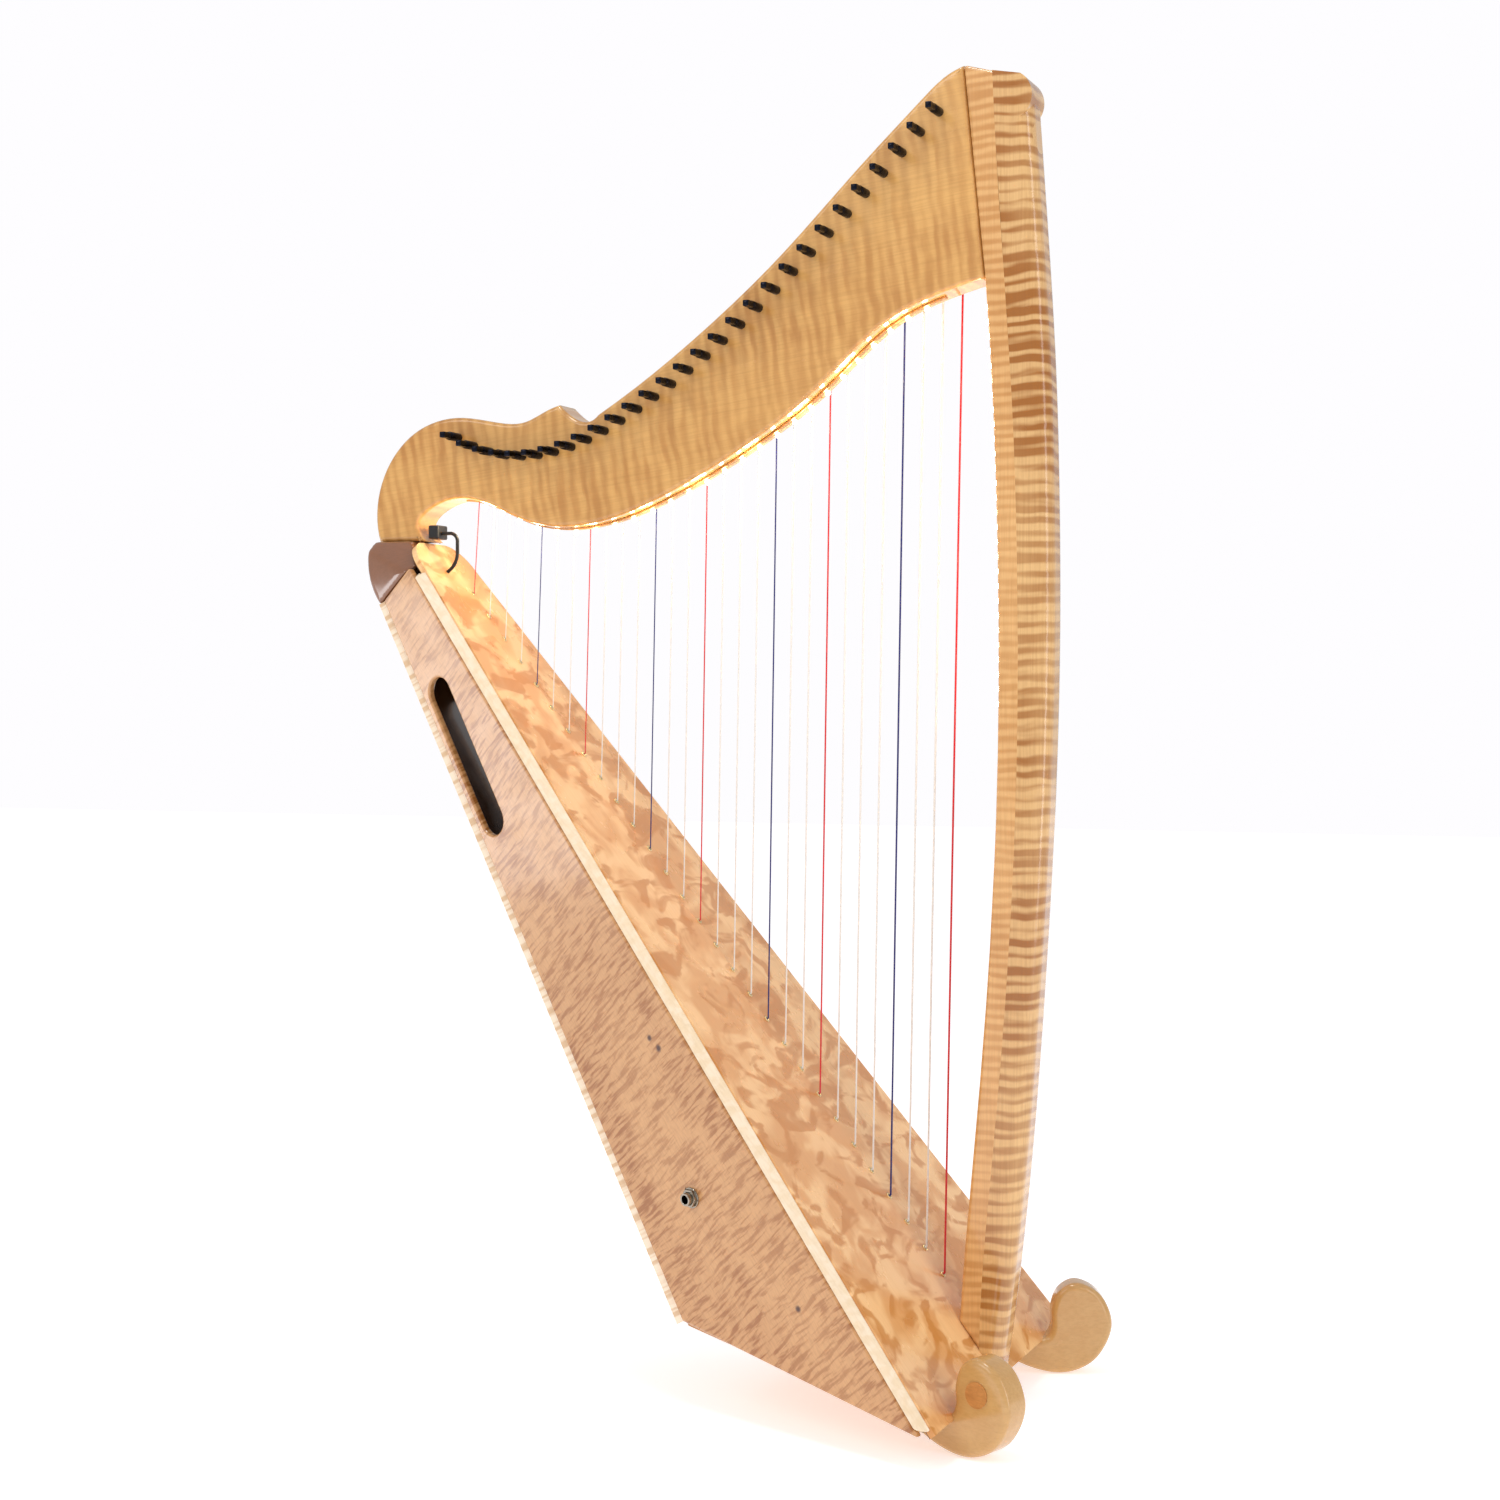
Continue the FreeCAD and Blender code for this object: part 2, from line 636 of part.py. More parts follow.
def make_tuning_pin(index):
    """A round steel pin across the neck, squared at the player's right for the tuning key."""
    half = size("neck_thick") / 2
    centre = pin_point(index)
    number = f"{index + 1:02d}"
    round_long = half * 2 + size("pin_front") + size("pin_rear") - size("pin_square_long")
    shank = doc.addObject("Part::Cylinder", "shank_" + number)
    shank.setExpression("Radius", "Sizes.pin_radius")
    shank.Height = round_long
    shank.Placement = frame_at(centre + Vector(0, half + size("pin_rear"), 0), Vector(1, 0, 0),
                               Vector(0, 0, 1))
    square = doc.addObject("Part::Box", "square_" + number)
    square.setExpression("Length", "Sizes.pin_square")
    square.setExpression("Width", "Sizes.pin_square_long")
    square.setExpression("Height", "Sizes.pin_square")
    side = size("pin_square") / 2
    square.Placement = Placement(centre + Vector(-side, -half - size("pin_front"), -side),
                                 FreeCAD.Rotation())
    pin = doc.addObject("Part::Fuse", "pin_" + number)
    pin.Base = shank
    pin.Tool = square
    return keep(pin, "tuning_pin_" + number)


def make_bridge_pins():
    """Steel pins in the neck's left face that stop the strings' upper ends."""
    pins = []
    for index in range(COUNT):
        point = bridge_point(index)
        radius = size("bridge_radius")
        start = Vector(point.x + radius + string_radius(index), size("neck_thick") / 2, point.z)
        pins.append(Part.makeCylinder(radius, size("bridge_out"), start, Vector(0, 1, 0)))
    return feature("bridge_pins", Part.makeCompound(pins))


def make_eyelets():
    """A small brass ring round each string hole."""
    rings = []
    for index in range(COUNT):
        foot = string_foot(index) + board_out * 0.02
        outer = Part.makeCylinder(size("eyelet_outer"), 0.9, foot, board_out)
        inner = Part.makeCylinder(size("eyelet_inner"), 2.0, foot, board_out)
        rings.append(outer.cut(inner))
    return feature("string_eyelets", Part.makeCompound(rings))


def string_bend(index):
    """Where a string leaves its eyelet and turns up towards the neck."""
    return string_foot(index) + board_out * (1.05 + string_radius(index))


def string_start(index):
    """Where a string comes out of its knot, under the rib."""
    return string_foot(index) - board_out * (size("board_thick") + size("rib_thick") + 0.5)


def string_shape(index):
    """A string from its knot under the rib, past the bridge pin, to its turns on the tuning pin."""
    radius = string_radius(index)
    start = string_start(index)
    bend = string_bend(index)
    bridge = bridge_point(index)
    up = (bridge - bend).normalize()
    pin = pin_point(index)
    winding = size("pin_radius") + 0.1
    lean = Vector(pin.x + winding + radius, bridge.y, pin.z)
    top = (lean - bridge).normalize()
    root = Part.makeCylinder(radius, (bend - start).Length, start, board_out)
    straight = Part.makeCylinder(radius, (bridge - bend).Length, bend, up)
    turn = Part.makeSphere(radius, bend)
    upper = Part.makeCylinder(radius, (lean - bridge).Length, bridge, top)
    elbow = Part.makeSphere(radius, bridge)
    ring_y = bridge.y - 2.5 * radius
    outer = Part.makeCylinder(winding + 2 * radius, 5 * radius, Vector(pin.x, ring_y, pin.z),
                              Vector(0, 1, 0))
    inner = Part.makeCylinder(winding, 5 * radius + 2, Vector(pin.x, ring_y - 1, pin.z),
                              Vector(0, 1, 0))
    return straight.fuse([root, turn, upper, elbow, outer.cut(inner)]).removeSplitter()


def make_strings(label, wanted):
    """The strings of one colour."""
    shapes = [string_shape(i) for i in range(COUNT) if string_note(i) in wanted]
    return feature(label, Part.makeCompound(shapes))


def make_knots():
    """The knot that stops each string under the rib."""
    knots = []
    for index in range(COUNT):
        knots.append(Part.makeSphere(2.5, string_start(index) - board_out * 2.55))
    return feature("string_knots", Part.makeCompound(knots))


# ---------------------------------------------------------------- output jack

def jack_frame():
    normal = side_normal(-1)
    return on_side(Vector(size("jack_x"), 0, size("jack_z")), -1), normal


def make_jack():
    """A quarter inch socket: a threaded barrel through the side panel and a body behind it."""
    face, normal = jack_frame()
    thick = size("side_thick")
    barrel = Part.makeCylinder(size("jack_barrel"), thick + 7.0, face - normal * thick, normal)
    body = Part.makeCylinder(8.0, 22.0, face - normal * (thick + 22.0), normal)
    bore = Part.makeCylinder(size("jack_bore"), 60.0, face - normal * (thick + 20.0), normal)
    return feature("output_jack", barrel.fuse(body).cut(bore).removeSplitter())


def make_jack_nut():
    """The washer and six sided nut that clamp the jack to the side panel."""
    face, normal = jack_frame()
    barrel = size("jack_barrel") + 0.05
    start = face + normal * 0.02
    washer = Part.makeCylinder(7.6, 1.0, start, normal)
    turn = frame_at(start + normal * 1.0, normal.cross(Vector(0, 0, 1)), Vector(0, 0, 1))
    if turn.Rotation.multVec(Vector(0, 0, 1)).dot(normal) < 0:
        turn = frame_at(start + normal * 1.0, normal.cross(Vector(0, 0, -1)), Vector(0, 0, 1))
    corners = [Vector(7.0 * math.cos(math.radians(60 * k)), 7.0 * math.sin(math.radians(60 * k)), 0)
               for k in range(6)]
    nut = Part.Face(Part.makePolygon(corners + corners[:1])).extrude(Vector(0, 0, 2.6))
    nut.Placement = turn
    bore = Part.makeCylinder(barrel, 20.0, start - normal * 5.0, normal)
    return feature("jack_nut", washer.fuse(nut).cut(bore).removeSplitter())


# ---------------------------------------------------------------- lamps

def stretch(path, first, last):
    """The stretch of a curve between two of its points."""
    piece = path.copy()
    piece.segment(path.parameter(first), path.parameter(last))
    return piece


def ribbon(path, out, label):
    """A flat ribbon a little off a curved edge; out is +1 or -1, the side that it lies on."""
    gap = size("ribbon_gap")
    rows = []
    count = 30
    for shift in (gap, gap + size("ribbon_thick")):
        row = []
        for step in range(count + 1):
            share = path.FirstParameter + (path.LastParameter - path.FirstParameter) * step / count
            spot = path.value(share)
            tangent = path.tangent(share)[0]
            normal = Vector(tangent.y, -tangent.x, 0) * out
            row.append(spot + normal * shift)
        rows.append(row)
    near, far = curve(rows[0]), curve(rows[1][::-1])
    edges = [near, Part.LineSegment(rows[0][-1], rows[1][-1]), far,
             Part.LineSegment(rows[1][0], rows[0][0])]
    return plate(label, edges, "ribbon_wide", UPRIGHT, middle=True)


def lamps_along(path, out, pitch):
    """Lamp centres evenly spaced along a curved edge."""
    edge = path.toShape()
    centres = []
    count = int(edge.Length / pitch)
    reach = size("ribbon_gap") + size("ribbon_thick") + size("lamp_radius") + 0.2
    for spot in edge.discretize(Number=count + 1)[1:-1]:
        share = path.parameter(spot)
        tangent = path.tangent(share)[0]
        normal = Vector(tangent.y, -tangent.x, 0) * out
        place = spot + normal * reach
        centres.append(Vector(place.x, 0, place.y))
    return centres


LAMP_PATH_NECK = stretch(UNDER_CURVE, NECK_UNDER[1], NECK_UNDER[-4])
LAMP_PATH_PILLAR = stretch(PILLAR_CURVE, PILLAR_BACK[0] + Vector(PILLAR_JOINT, -8, 0), PILLAR_BACK[3])


def make_lamps():
    """Warm lamps along the neck's underside and down the pillar's back."""
    centres = lamps_along(LAMP_PATH_NECK, -1, size("lamp_pitch_neck"))
    centres += lamps_along(LAMP_PATH_PILLAR, 1, size("lamp_pitch_pillar"))
    return feature("lamps", Part.makeCompound([Part.makeSphere(size("lamp_radius"), c)
                                               for c in centres]))


def make_driver():
    """The small box that feeds the lamps, tucked under the shoulder."""
    box = doc.addObject("Part::Box", "driver_box")
    box.Length = 9.0
    box.Width = 16.0
    box.Height = 11.0
    box.Placement = Placement(Vector(-360.5, -14.0, 601.5), FreeCAD.Rotation())
    return keep(box, "lamp_driver")


def make_lead():
    """The lamps' lead, from the box down into the sound board."""
    start = Vector(-351.5, LEAD_HOLE.y, 606.0)
    above = LEAD_HOLE + board_out * 11.0
    route = [start, Vector(above.x, above.y, 606.0), above, LEAD_HOLE - board_out * 8.0]
    return feature("lamp_lead", tube(route, size("lead_radius")))


def tube(route, radius):
    """A round lead: straight runs joined by tangent arcs as large as the runs allow."""
    edges = []
    at = route[0]
    for before, corner, after in zip(route, route[1:], route[2:]):
        into = (corner - before).normalize()
        out = (after - corner).normalize()
        turn = into.getAngle(out)
        reach = 0.45 * min((corner - before).Length, (after - corner).Length)
        first = corner - into * reach
        last = corner + out * reach
        bend = reach / math.tan(turn / 2)
        print(f"lead bend radius {bend:.1f}")
        inside = (out - into).normalize()
        middle = corner + inside * (bend / math.cos(turn / 2) - bend)
        edges.append(Part.LineSegment(at, first).toShape())
        edges.append(Part.Arc(first, middle, last).toShape())
        at = last
    edges.append(Part.LineSegment(at, route[-1]).toShape())
    start = (route[1] - route[0]).normalize()
    ring = Part.Wire(Part.Circle(route[0], start, radius).toShape())
    return Part.Wire(edges).makePipeShell([ring], True, False)


# ---------------------------------------------------------------- the whole harp

def build():
    make_soundboard()
    make_rib()
    make_side(-1, "side_panel_right")
    make_side(1, "side_panel_left")
    make_back()
    make_binding(-1, "binding_right")
    make_binding(1, "binding_left")
    make_base()
    make_braces()
    make_top_block()
    make_neck()
    make_pillar()
    make_bolt()
    make_foot(-1, "foot_right")
    make_foot(1, "foot_left")
    make_medallions()
    for index in range(COUNT):
        make_tuning_pin(index)
    make_bridge_pins()
    make_eyelets()
    make_strings("strings_c", "C")
    make_strings("strings_f", "F")
    make_strings("strings_natural", "BAGED")
    make_knots()
    make_jack()
    make_jack_nut()
    ribbon(LAMP_PATH_NECK, -1, "lamp_ribbon_neck")
    ribbon(LAMP_PATH_PILLAR, 1, "lamp_ribbon_pillar")
    make_lamps()
    make_driver()
    make_lead()
    doc.recompute()


def check():
    """Stop on a failed object or an empty or broken shape."""
    for obj in doc.Objects:
        if "Invalid" in obj.State or "Error" in obj.State:
            raise RuntimeError(f"{obj.Label} failed: {obj.State}")
    for obj in PARTS:
        if obj.Shape.isNull() or not obj.Shape.isValid() or not obj.Shape.Solids:
            raise RuntimeError(f"{obj.Label} has no valid shape")


def export():
    os.makedirs("parts", exist_ok=True)
    for obj in PARTS:
        obj.Shape.exportStep(f"parts/{obj.Label}.step")
    print(len(PARTS), "sub-parts written")


build()
check()
export()
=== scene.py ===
import math

import bmesh
import bpy
import numpy as np
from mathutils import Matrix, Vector
from mathutils.geometry import tessellate_polygon


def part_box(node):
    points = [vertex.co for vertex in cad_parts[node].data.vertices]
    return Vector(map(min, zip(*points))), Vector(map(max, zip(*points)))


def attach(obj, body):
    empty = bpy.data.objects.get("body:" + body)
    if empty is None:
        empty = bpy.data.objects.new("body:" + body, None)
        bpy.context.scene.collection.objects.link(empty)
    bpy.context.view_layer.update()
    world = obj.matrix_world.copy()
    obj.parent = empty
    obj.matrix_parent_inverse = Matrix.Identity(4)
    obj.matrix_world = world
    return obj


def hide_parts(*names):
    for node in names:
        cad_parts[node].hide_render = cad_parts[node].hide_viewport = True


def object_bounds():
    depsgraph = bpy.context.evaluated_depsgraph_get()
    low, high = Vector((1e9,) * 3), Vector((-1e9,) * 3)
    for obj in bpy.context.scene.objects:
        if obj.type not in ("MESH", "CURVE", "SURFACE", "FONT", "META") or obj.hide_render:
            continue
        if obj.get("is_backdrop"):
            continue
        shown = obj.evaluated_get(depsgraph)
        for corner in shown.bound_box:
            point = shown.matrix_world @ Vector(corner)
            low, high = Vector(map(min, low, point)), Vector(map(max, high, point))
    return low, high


bl_info = {
    "name": "Floor harp",
    "version": (1, 0, 0),
    "blender": (4, 5, 0),
    "location": "3D View > Sidebar > Harp",
    "description": "Shapes and finishes for a floor harp of 29 strings, built around its CAD frame",
    "category": "Object",
}

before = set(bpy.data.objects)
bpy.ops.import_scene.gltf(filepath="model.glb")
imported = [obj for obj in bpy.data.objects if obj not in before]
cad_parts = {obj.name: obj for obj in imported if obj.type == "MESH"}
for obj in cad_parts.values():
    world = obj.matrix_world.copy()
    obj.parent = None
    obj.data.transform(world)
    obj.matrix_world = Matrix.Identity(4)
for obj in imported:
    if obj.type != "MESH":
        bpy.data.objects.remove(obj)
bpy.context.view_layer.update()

PINS = sorted(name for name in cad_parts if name.startswith("tuning_pin_"))
BODY = "harp"
NOTES = "CBAGFED"
BOARD_SLOPE = math.radians(52.4)
BOARD_UP = np.array([-math.cos(BOARD_SLOPE), 0.0, math.sin(BOARD_SLOPE)])
BOARD_OUT = np.array([math.sin(BOARD_SLOPE), 0.0, math.cos(BOARD_SLOPE)])
NEAR_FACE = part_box("neck")[0].y
FAR_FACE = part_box("neck")[1].y

# The sound box: its front's foot and length, its back's two ends, and half its width at three
# corners.
FRONT_FOOT = np.array([0.111, 0.0, -0.018])
FRONT_LENGTH = 0.778
BACK_FOOT = np.array([-0.111, 0.0, 0.018])
BACK_TOP = np.array([-0.397, 0.0, 0.552])
HALF_FRONT_FOOT, HALF_FRONT_TOP, HALF_BACK_FOOT = 0.176, 0.048, 0.090
BACK_UP = (BACK_TOP - BACK_FOOT) / np.linalg.norm(BACK_TOP - BACK_FOOT)
BACK_OUT = np.array([-BACK_UP[2], 0.0, BACK_UP[0]])

# Knots in the right side: the middle and the reach of each.
KNOTS = [((-0.1261, -0.1057, 0.2281), 0.0034), ((-0.1177, -0.1084, 0.2214), 0.0040),
         ((0.0022, -0.1391, 0.0505), 0.0036)]

# A foot seen from the side, the point that it's splayed about, its splay and half its thickness.
FOOT_OUTLINE = np.array([(0.046, -0.0105), (0.062, -0.022), (0.096, -0.039), (0.124, -0.043),
                         (0.147, -0.032), (0.159, -0.007), (0.151, 0.016), (0.133, 0.026),
                         (0.119, 0.020), (0.113, 0.006), (0.113, -0.008), (0.106, -0.0165),
                         (0.080, -0.0125)])
FOOT_PIVOT_X, FOOT_PIVOT_Y = 0.136, 0.122
FOOT_SPLAY = math.radians(20.0)
FOOT_HALF = 0.012

# Pins and strings: the thread's step and depth, and how far from the neck the strings run.
THREAD_STEP, THREAD_DEPTH = 0.0004, 0.00022
STRING_OFFSET = 0.010


# ---------------------------------------------------------------- what a user can change

def colour(name, red, green, blue, words):
    """A colour property; the default is given in the 0 to 255 steps of a paint chart."""
    return bpy.props.FloatVectorProperty(
        name=name, description=words, subtype="COLOR", size=3, min=0.0, max=1.0,
        default=linear(red, green, blue))


def linear(red, green, blue):
    """Steps of 0 to 255 turned into the linear light that the shaders use."""
    steps = np.array([red, green, blue]) / 255.0
    return tuple(np.where(steps <= 0.04045, steps / 12.92, ((steps + 0.055) / 1.055) ** 2.4))


class HarpWood(bpy.types.PropertyGroup):
    """Colours of the woods and how far their edges are rounded."""

    side_light: colour("Side, light", 214, 162, 108, "Light part of the sides' curly figure")
    side_dark: colour("Side, dark", 158, 96, 40, "Dark part of the sides' curly figure")
    board_light: colour("Board, light", 252, 204, 144, "Light part of the board's quilted figure")
    board_dark: colour("Board, dark", 208, 132, 52, "Dark part of the board's quilted figure")
    neck_light: colour("Neck, light", 226, 174, 101, "Light part of the neck's flame")
    neck_dark: colour("Neck, dark", 185, 128, 64, "Dark part of the neck's flame")
    pillar_light: colour("Pillar, light", 230, 186, 124, "Pale bands of the pillar")
    pillar_dark: colour("Pillar, dark", 160, 97, 28, "Gold bands of the pillar")
    strip_light: colour("Pillar strip, light", 232, 182, 118, "Light part of the pillar's back strip")
    strip_dark: colour("Pillar strip, dark", 196, 136, 72, "Dark part of the pillar's back strip")
    binding_pale: colour("Binding", 252, 233, 206, "The strip along the board's edges")
    foot_pale: colour("Feet", 206, 163, 102, "The feet's plain wood")
    block_brown: colour("Top block", 138, 88, 56, "The block under the neck's shoulder")
    edge_round: bpy.props.FloatProperty(
        name="Edge rounding", description="Radius of the neck's rounded edges",
        default=0.0035, min=0.0005, max=0.008, unit="LENGTH")
    foot_round: bpy.props.FloatProperty(
        name="Foot rounding", description="Radius of the feet's rounded edges",
        default=0.005, min=0.0005, max=0.009, unit="LENGTH")
    block_smooth: bpy.props.IntProperty(
        name="Block smoothing", description="How many times the top block's form is smoothed",
        default=34, min=0, max=100)


class HarpStrings(bpy.types.PropertyGroup):
    """Gauges and colours of the strings."""

    thin: bpy.props.FloatProperty(
        name="Thinnest radius", description="Radius of the highest string",
        default=0.00035, min=0.0002, max=0.001, unit="LENGTH")
    thick: bpy.props.FloatProperty(
        name="Thickest radius", description="Radius of the lowest string",
        default=0.0008, min=0.0003, max=0.0015, unit="LENGTH")
    turns: bpy.props.FloatProperty(
        name="Turns", description="Turns of a string round its tuning pin",
        default=2.4, min=1.0, max=3.0)
    red: colour("C strings", 214, 24, 34, "The red strings, which sound C")
    blue: colour("F strings", 22, 24, 104, "The dark blue strings, which sound F")
    clear: colour("Other strings", 238, 234, 226, "The clear strings")


class HarpMetal(bpy.types.PropertyGroup):
    """Sizes and colours of the metal parts."""

    pin_radius: bpy.props.FloatProperty(
        name="Pin radius", description="Radius of a tuning pin's round shank",
        default=0.0034, min=0.002, max=0.005, unit="LENGTH")
    pin_square: bpy.props.FloatProperty(
        name="Pin square", description="Width of the square end that the key turns",
        default=0.0046, min=0.003, max=0.006, unit="LENGTH")
    steel: colour("Blued steel", 34, 36, 46, "The tuning pins and bridge pins")
    brass: colour("Brass", 246, 222, 168, "The eyelets in the board")
    nickel: colour("Nickel", 172, 164, 150, "The output jack and its nut")


class HarpLamps(bpy.types.PropertyGroup):
    """The lamps under the neck and down the pillar."""

    glow: colour("Glow", 255, 234, 196, "Colour of the lamps' light")
    strength: bpy.props.FloatProperty(
        name="Lamp strength", description="How brightly each lamp shines",
        default=22.0, min=0.0, max=100.0)
    spill: bpy.props.FloatProperty(
        name="Spill power", description="Power of each hidden light that carries the lamps' glow",
        default=0.045, min=0.0, max=2.0, unit="POWER")


class HarpStage(bpy.types.PropertyGroup):
    """The floor, the studio's lights and the camera."""

    camera_place: bpy.props.FloatVectorProperty(
        name="Camera place", description="Where the camera stands", subtype="XYZ", size=3,
        default=(0.6218, -1.7617, 0.4735), unit="LENGTH")
    camera_turn: bpy.props.FloatProperty(
        name="Camera turn", description="Angle that the camera is turned about the upright",
        default=math.radians(22.0), subtype="ANGLE")
    camera_shift: bpy.props.FloatProperty(
        name="Camera shift", description="Share of the picture's width that the view is moved",
        default=-0.0333, min=-1.0, max=1.0)
    lens: bpy.props.FloatProperty(
        name="Lens", description="Focal length in millimetres", default=60.0, min=20.0, max=200.0)
    backdrop: colour("Backdrop", 254, 253, 255, "The pale room behind the harp")
    floor: colour("Floor", 254, 253, 255, "The pale floor")
    room_light: bpy.props.FloatProperty(
        name="Room light", description="How much light the pale room gives", default=0.63,
        min=0.0, max=2.0)
    floor_lift: bpy.props.FloatProperty(
        name="Floor lift", description="Light that the floor itself gives, to match the room",
        default=0.47, min=0.0, max=1.0)
    key_power: bpy.props.FloatProperty(
        name="Key light", description="Power of the large soft light", default=14.0, min=0.0,
        unit="POWER")
    top_power: bpy.props.FloatProperty(
        name="Top light", description="Power of the small light high over the neck",
        default=8.0, min=0.0, unit="POWER")
    window_power: bpy.props.FloatProperty(
        name="Window light", description="Power of the small window that shines in the lacquer",
        default=1.6, min=0.0, unit="POWER")
    rim_power: bpy.props.FloatProperty(
        name="Side light", description="Power of the tall strip light", default=10.0, min=0.0,
        unit="POWER")


SETTINGS = {
    "harp_wood": HarpWood,
    "harp_strings": HarpStrings,
    "harp_metal": HarpMetal,
    "harp_lamps": HarpLamps,
    "harp_stage": HarpStage,
}


# ---------------------------------------------------------------- meshes

def link(mesh, name, material, smooth=True):
    """A new piece from a mesh, at the origin, with its material."""
    piece = bpy.data.objects.new(name, mesh)
    bpy.context.scene.collection.objects.link(piece)
    mesh.materials.clear()
    mesh.materials.append(material)
    mesh.polygons.foreach_set("use_smooth", [smooth] * len(mesh.polygons))
    return piece


def carry(piece, nodes=(), body=BODY):
    """Hide the CAD nodes that a piece stands for, and attach it to the body that it moves with."""
    if nodes:
        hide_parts(*nodes)
    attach(piece, body)
    return piece


def dress(node, material):
    """Give a CAD node its finish and leave its shape alone."""
    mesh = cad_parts[node].data
    mesh.materials.clear()
    mesh.materials.append(material)


def grid_faces(rows, columns, closed=False):
    """The four corners of each cell of a grid stored row by row, whose rows may be closed rings."""
    along = np.arange(columns if closed else columns - 1)
    first, second = np.meshgrid(np.arange(rows - 1), along, indexing="ij")
    beside = (second + 1) % columns
    corners = [first * columns + second, first * columns + beside,
               (first + 1) * columns + beside, (first + 1) * columns + second]
    return np.stack(corners, axis=-1).reshape(-1, 4)


def filled(name, points, faces, merge=1e-7):
    """A mesh from arrays of points and faces, with its poles merged and its faces turned out."""
    mesh = bpy.data.meshes.new(name)
    mesh.from_pydata(points.reshape(-1, 3), [], faces)
    work = bmesh.new()
    work.from_mesh(mesh)
    bmesh.ops.remove_doubles(work, verts=work.verts, dist=merge)
    bmesh.ops.dissolve_degenerate(work, edges=work.edges, dist=merge)
    bmesh.ops.recalc_face_normals(work, faces=work.faces)
    work.to_mesh(mesh)
    work.free()
    return mesh


def several(blocks):
    """Many surfaces as one: each is points of rows by columns, wrapped round its columns."""
    points, faces, start = [], [], 0
    for block in blocks:
        rows, columns = block.shape[:2]
        points.append(block.reshape(-1, 3))
        faces.append(grid_faces(rows, columns, closed=True) + start)
        start += rows * columns
    return np.concatenate(points), np.concatenate(faces)


def turned(centre, axis, profile, sides):
    """A profile turned round an axis: at each step along the axis, a circle of that radius.

    profile holds rows of (distance along the axis, radius); a radius of nought closes the end.
    """
    axis = np.asarray(axis, float) / np.linalg.norm(axis)
    helper = np.array([0.0, 0.0, 1.0]) if abs(axis[2]) < 0.9 else np.array([1.0, 0.0, 0.0])
    across = np.cross(axis, helper)
    across /= np.linalg.norm(across)
    up = np.cross(axis, across)
    angle = np.linspace(0, 2 * np.pi, sides, endpoint=False)
    circle = np.cos(angle)[:, None] * across + np.sin(angle)[:, None] * up
    profile = np.asarray(profile, float)
    return (np.asarray(centre, float) + profile[:, 0, None, None] * axis
            + profile[:, 1, None, None] * circle)


def piped(path, radius, sides):
    """A round tube: a circle square to the path at each of its points, closed at both ends.

    The circle's first arm is the path's direction crossed with the harp's width, which no string
    runs along, so the tube never twists.
    """
    path = np.asarray(path, float)
    along = np.gradient(path, axis=0)
    along /= np.linalg.norm(along, axis=1)[:, None]
    first = np.cross(along, [0.0, 1.0, 0.0])
    first /= np.linalg.norm(first, axis=1)[:, None]
    second = np.cross(along, first)
    angle = np.linspace(0, 2 * np.pi, sides, endpoint=False)
    ring = (np.cos(angle)[None, :, None] * first[:, None]
            + np.sin(angle)[None, :, None] * second[:, None])
    tube = path[:, None] + ring * radius
    ends = [np.repeat(path[k][None, None], sides, axis=1) for k in (0, -1)]
    return np.concatenate([ends[0], tube, ends[1]])


def merged_copy(node):
    """A copy of a CAD node's mesh with its triangles joined and its flat faces made whole."""
    work = bmesh.new()
    work.from_mesh(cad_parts[node].data)
    bmesh.ops.remove_doubles(work, verts=work.verts, dist=2e-6)
    bmesh.ops.dissolve_limit(work, angle_limit=math.radians(0.4), verts=work.verts,
                             edges=work.edges)
    return work


def sharp_edges(work, smallest, sharp=math.radians(28.0)):
    """The sharp edges that belong to a run of edges wider than the smallest size."""
    edges = [e for e in work.edges if len(e.link_faces) == 2 and e.calc_face_angle(0.0) > sharp]
    wanted, left = [], set(edges)
    while left:
        run, queue = [], [left.pop()]
        while queue:
            edge = queue.pop()
            run.append(edge)
            for vert in edge.verts:
                for other in vert.link_edges:
                    if other in left:
                        left.discard(other)
                        queue.append(other)
        spots = np.array([v.co for e in run for v in e.verts])
        if np.linalg.norm(spots.max(0) - spots.min(0)) > smallest:
            wanted += run
    return wanted


def soften(node, name, material, width, smallest=0.016, segments=3, joint=(0, 0, 0)):
    """A piece with a CAD node's shape whose long sharp edges are rounded over.

    Edges of a face that looks along joint stay sharp, because another piece is glued there.
    """
    work = merged_copy(node)
    layer = work.edges.layers.float.new("bevel_weight_edge")
    for edge in sharp_edges(work, smallest):
        glued = max(face.normal.dot(Vector(joint)) for face in edge.link_faces)
        edge[layer] = 0.0 if glued > 0.6 else 1.0
    mesh = bpy.data.meshes.new(name)
    work.to_mesh(mesh)
    work.free()
    piece = link(mesh, name, material)
    rounding = piece.modifiers.new("rounding", "BEVEL")
    rounding.limit_method = "WEIGHT"
    rounding.width = width
    rounding.segments = segments
    rounding.use_clamp_overlap = False
    shading = piece.modifiers.new("shading", "WEIGHTED_NORMAL")
    shading.weight = 100
    shading.keep_sharp = True
    mesh.set_sharp_from_angle(angle=math.radians(62.0))
    return carry(piece, [node])


def outline(node, sharp_side):
    """The rim of a flat CAD piece, in order: its longest run of sharp edges on one of its faces."""
    work = merged_copy(node)
    edges = [e for e in sharp_edges(work, 0.06)
             if all(sharp_side(v.co) for v in e.verts)]
    beside = {}
    for edge in edges:
        first, last = edge.verts
        beside.setdefault(first, []).append(last)
        beside.setdefault(last, []).append(first)
    start = next(iter(beside))
    walk, before, here = [start], None, start
    while True:
        after = next(v for v in beside[here] if v is not before)
        if after is start:
            break
        walk.append(after)
        before, here = here, after
    spots = np.array([v.co for v in walk])
    work.free()
    return spots


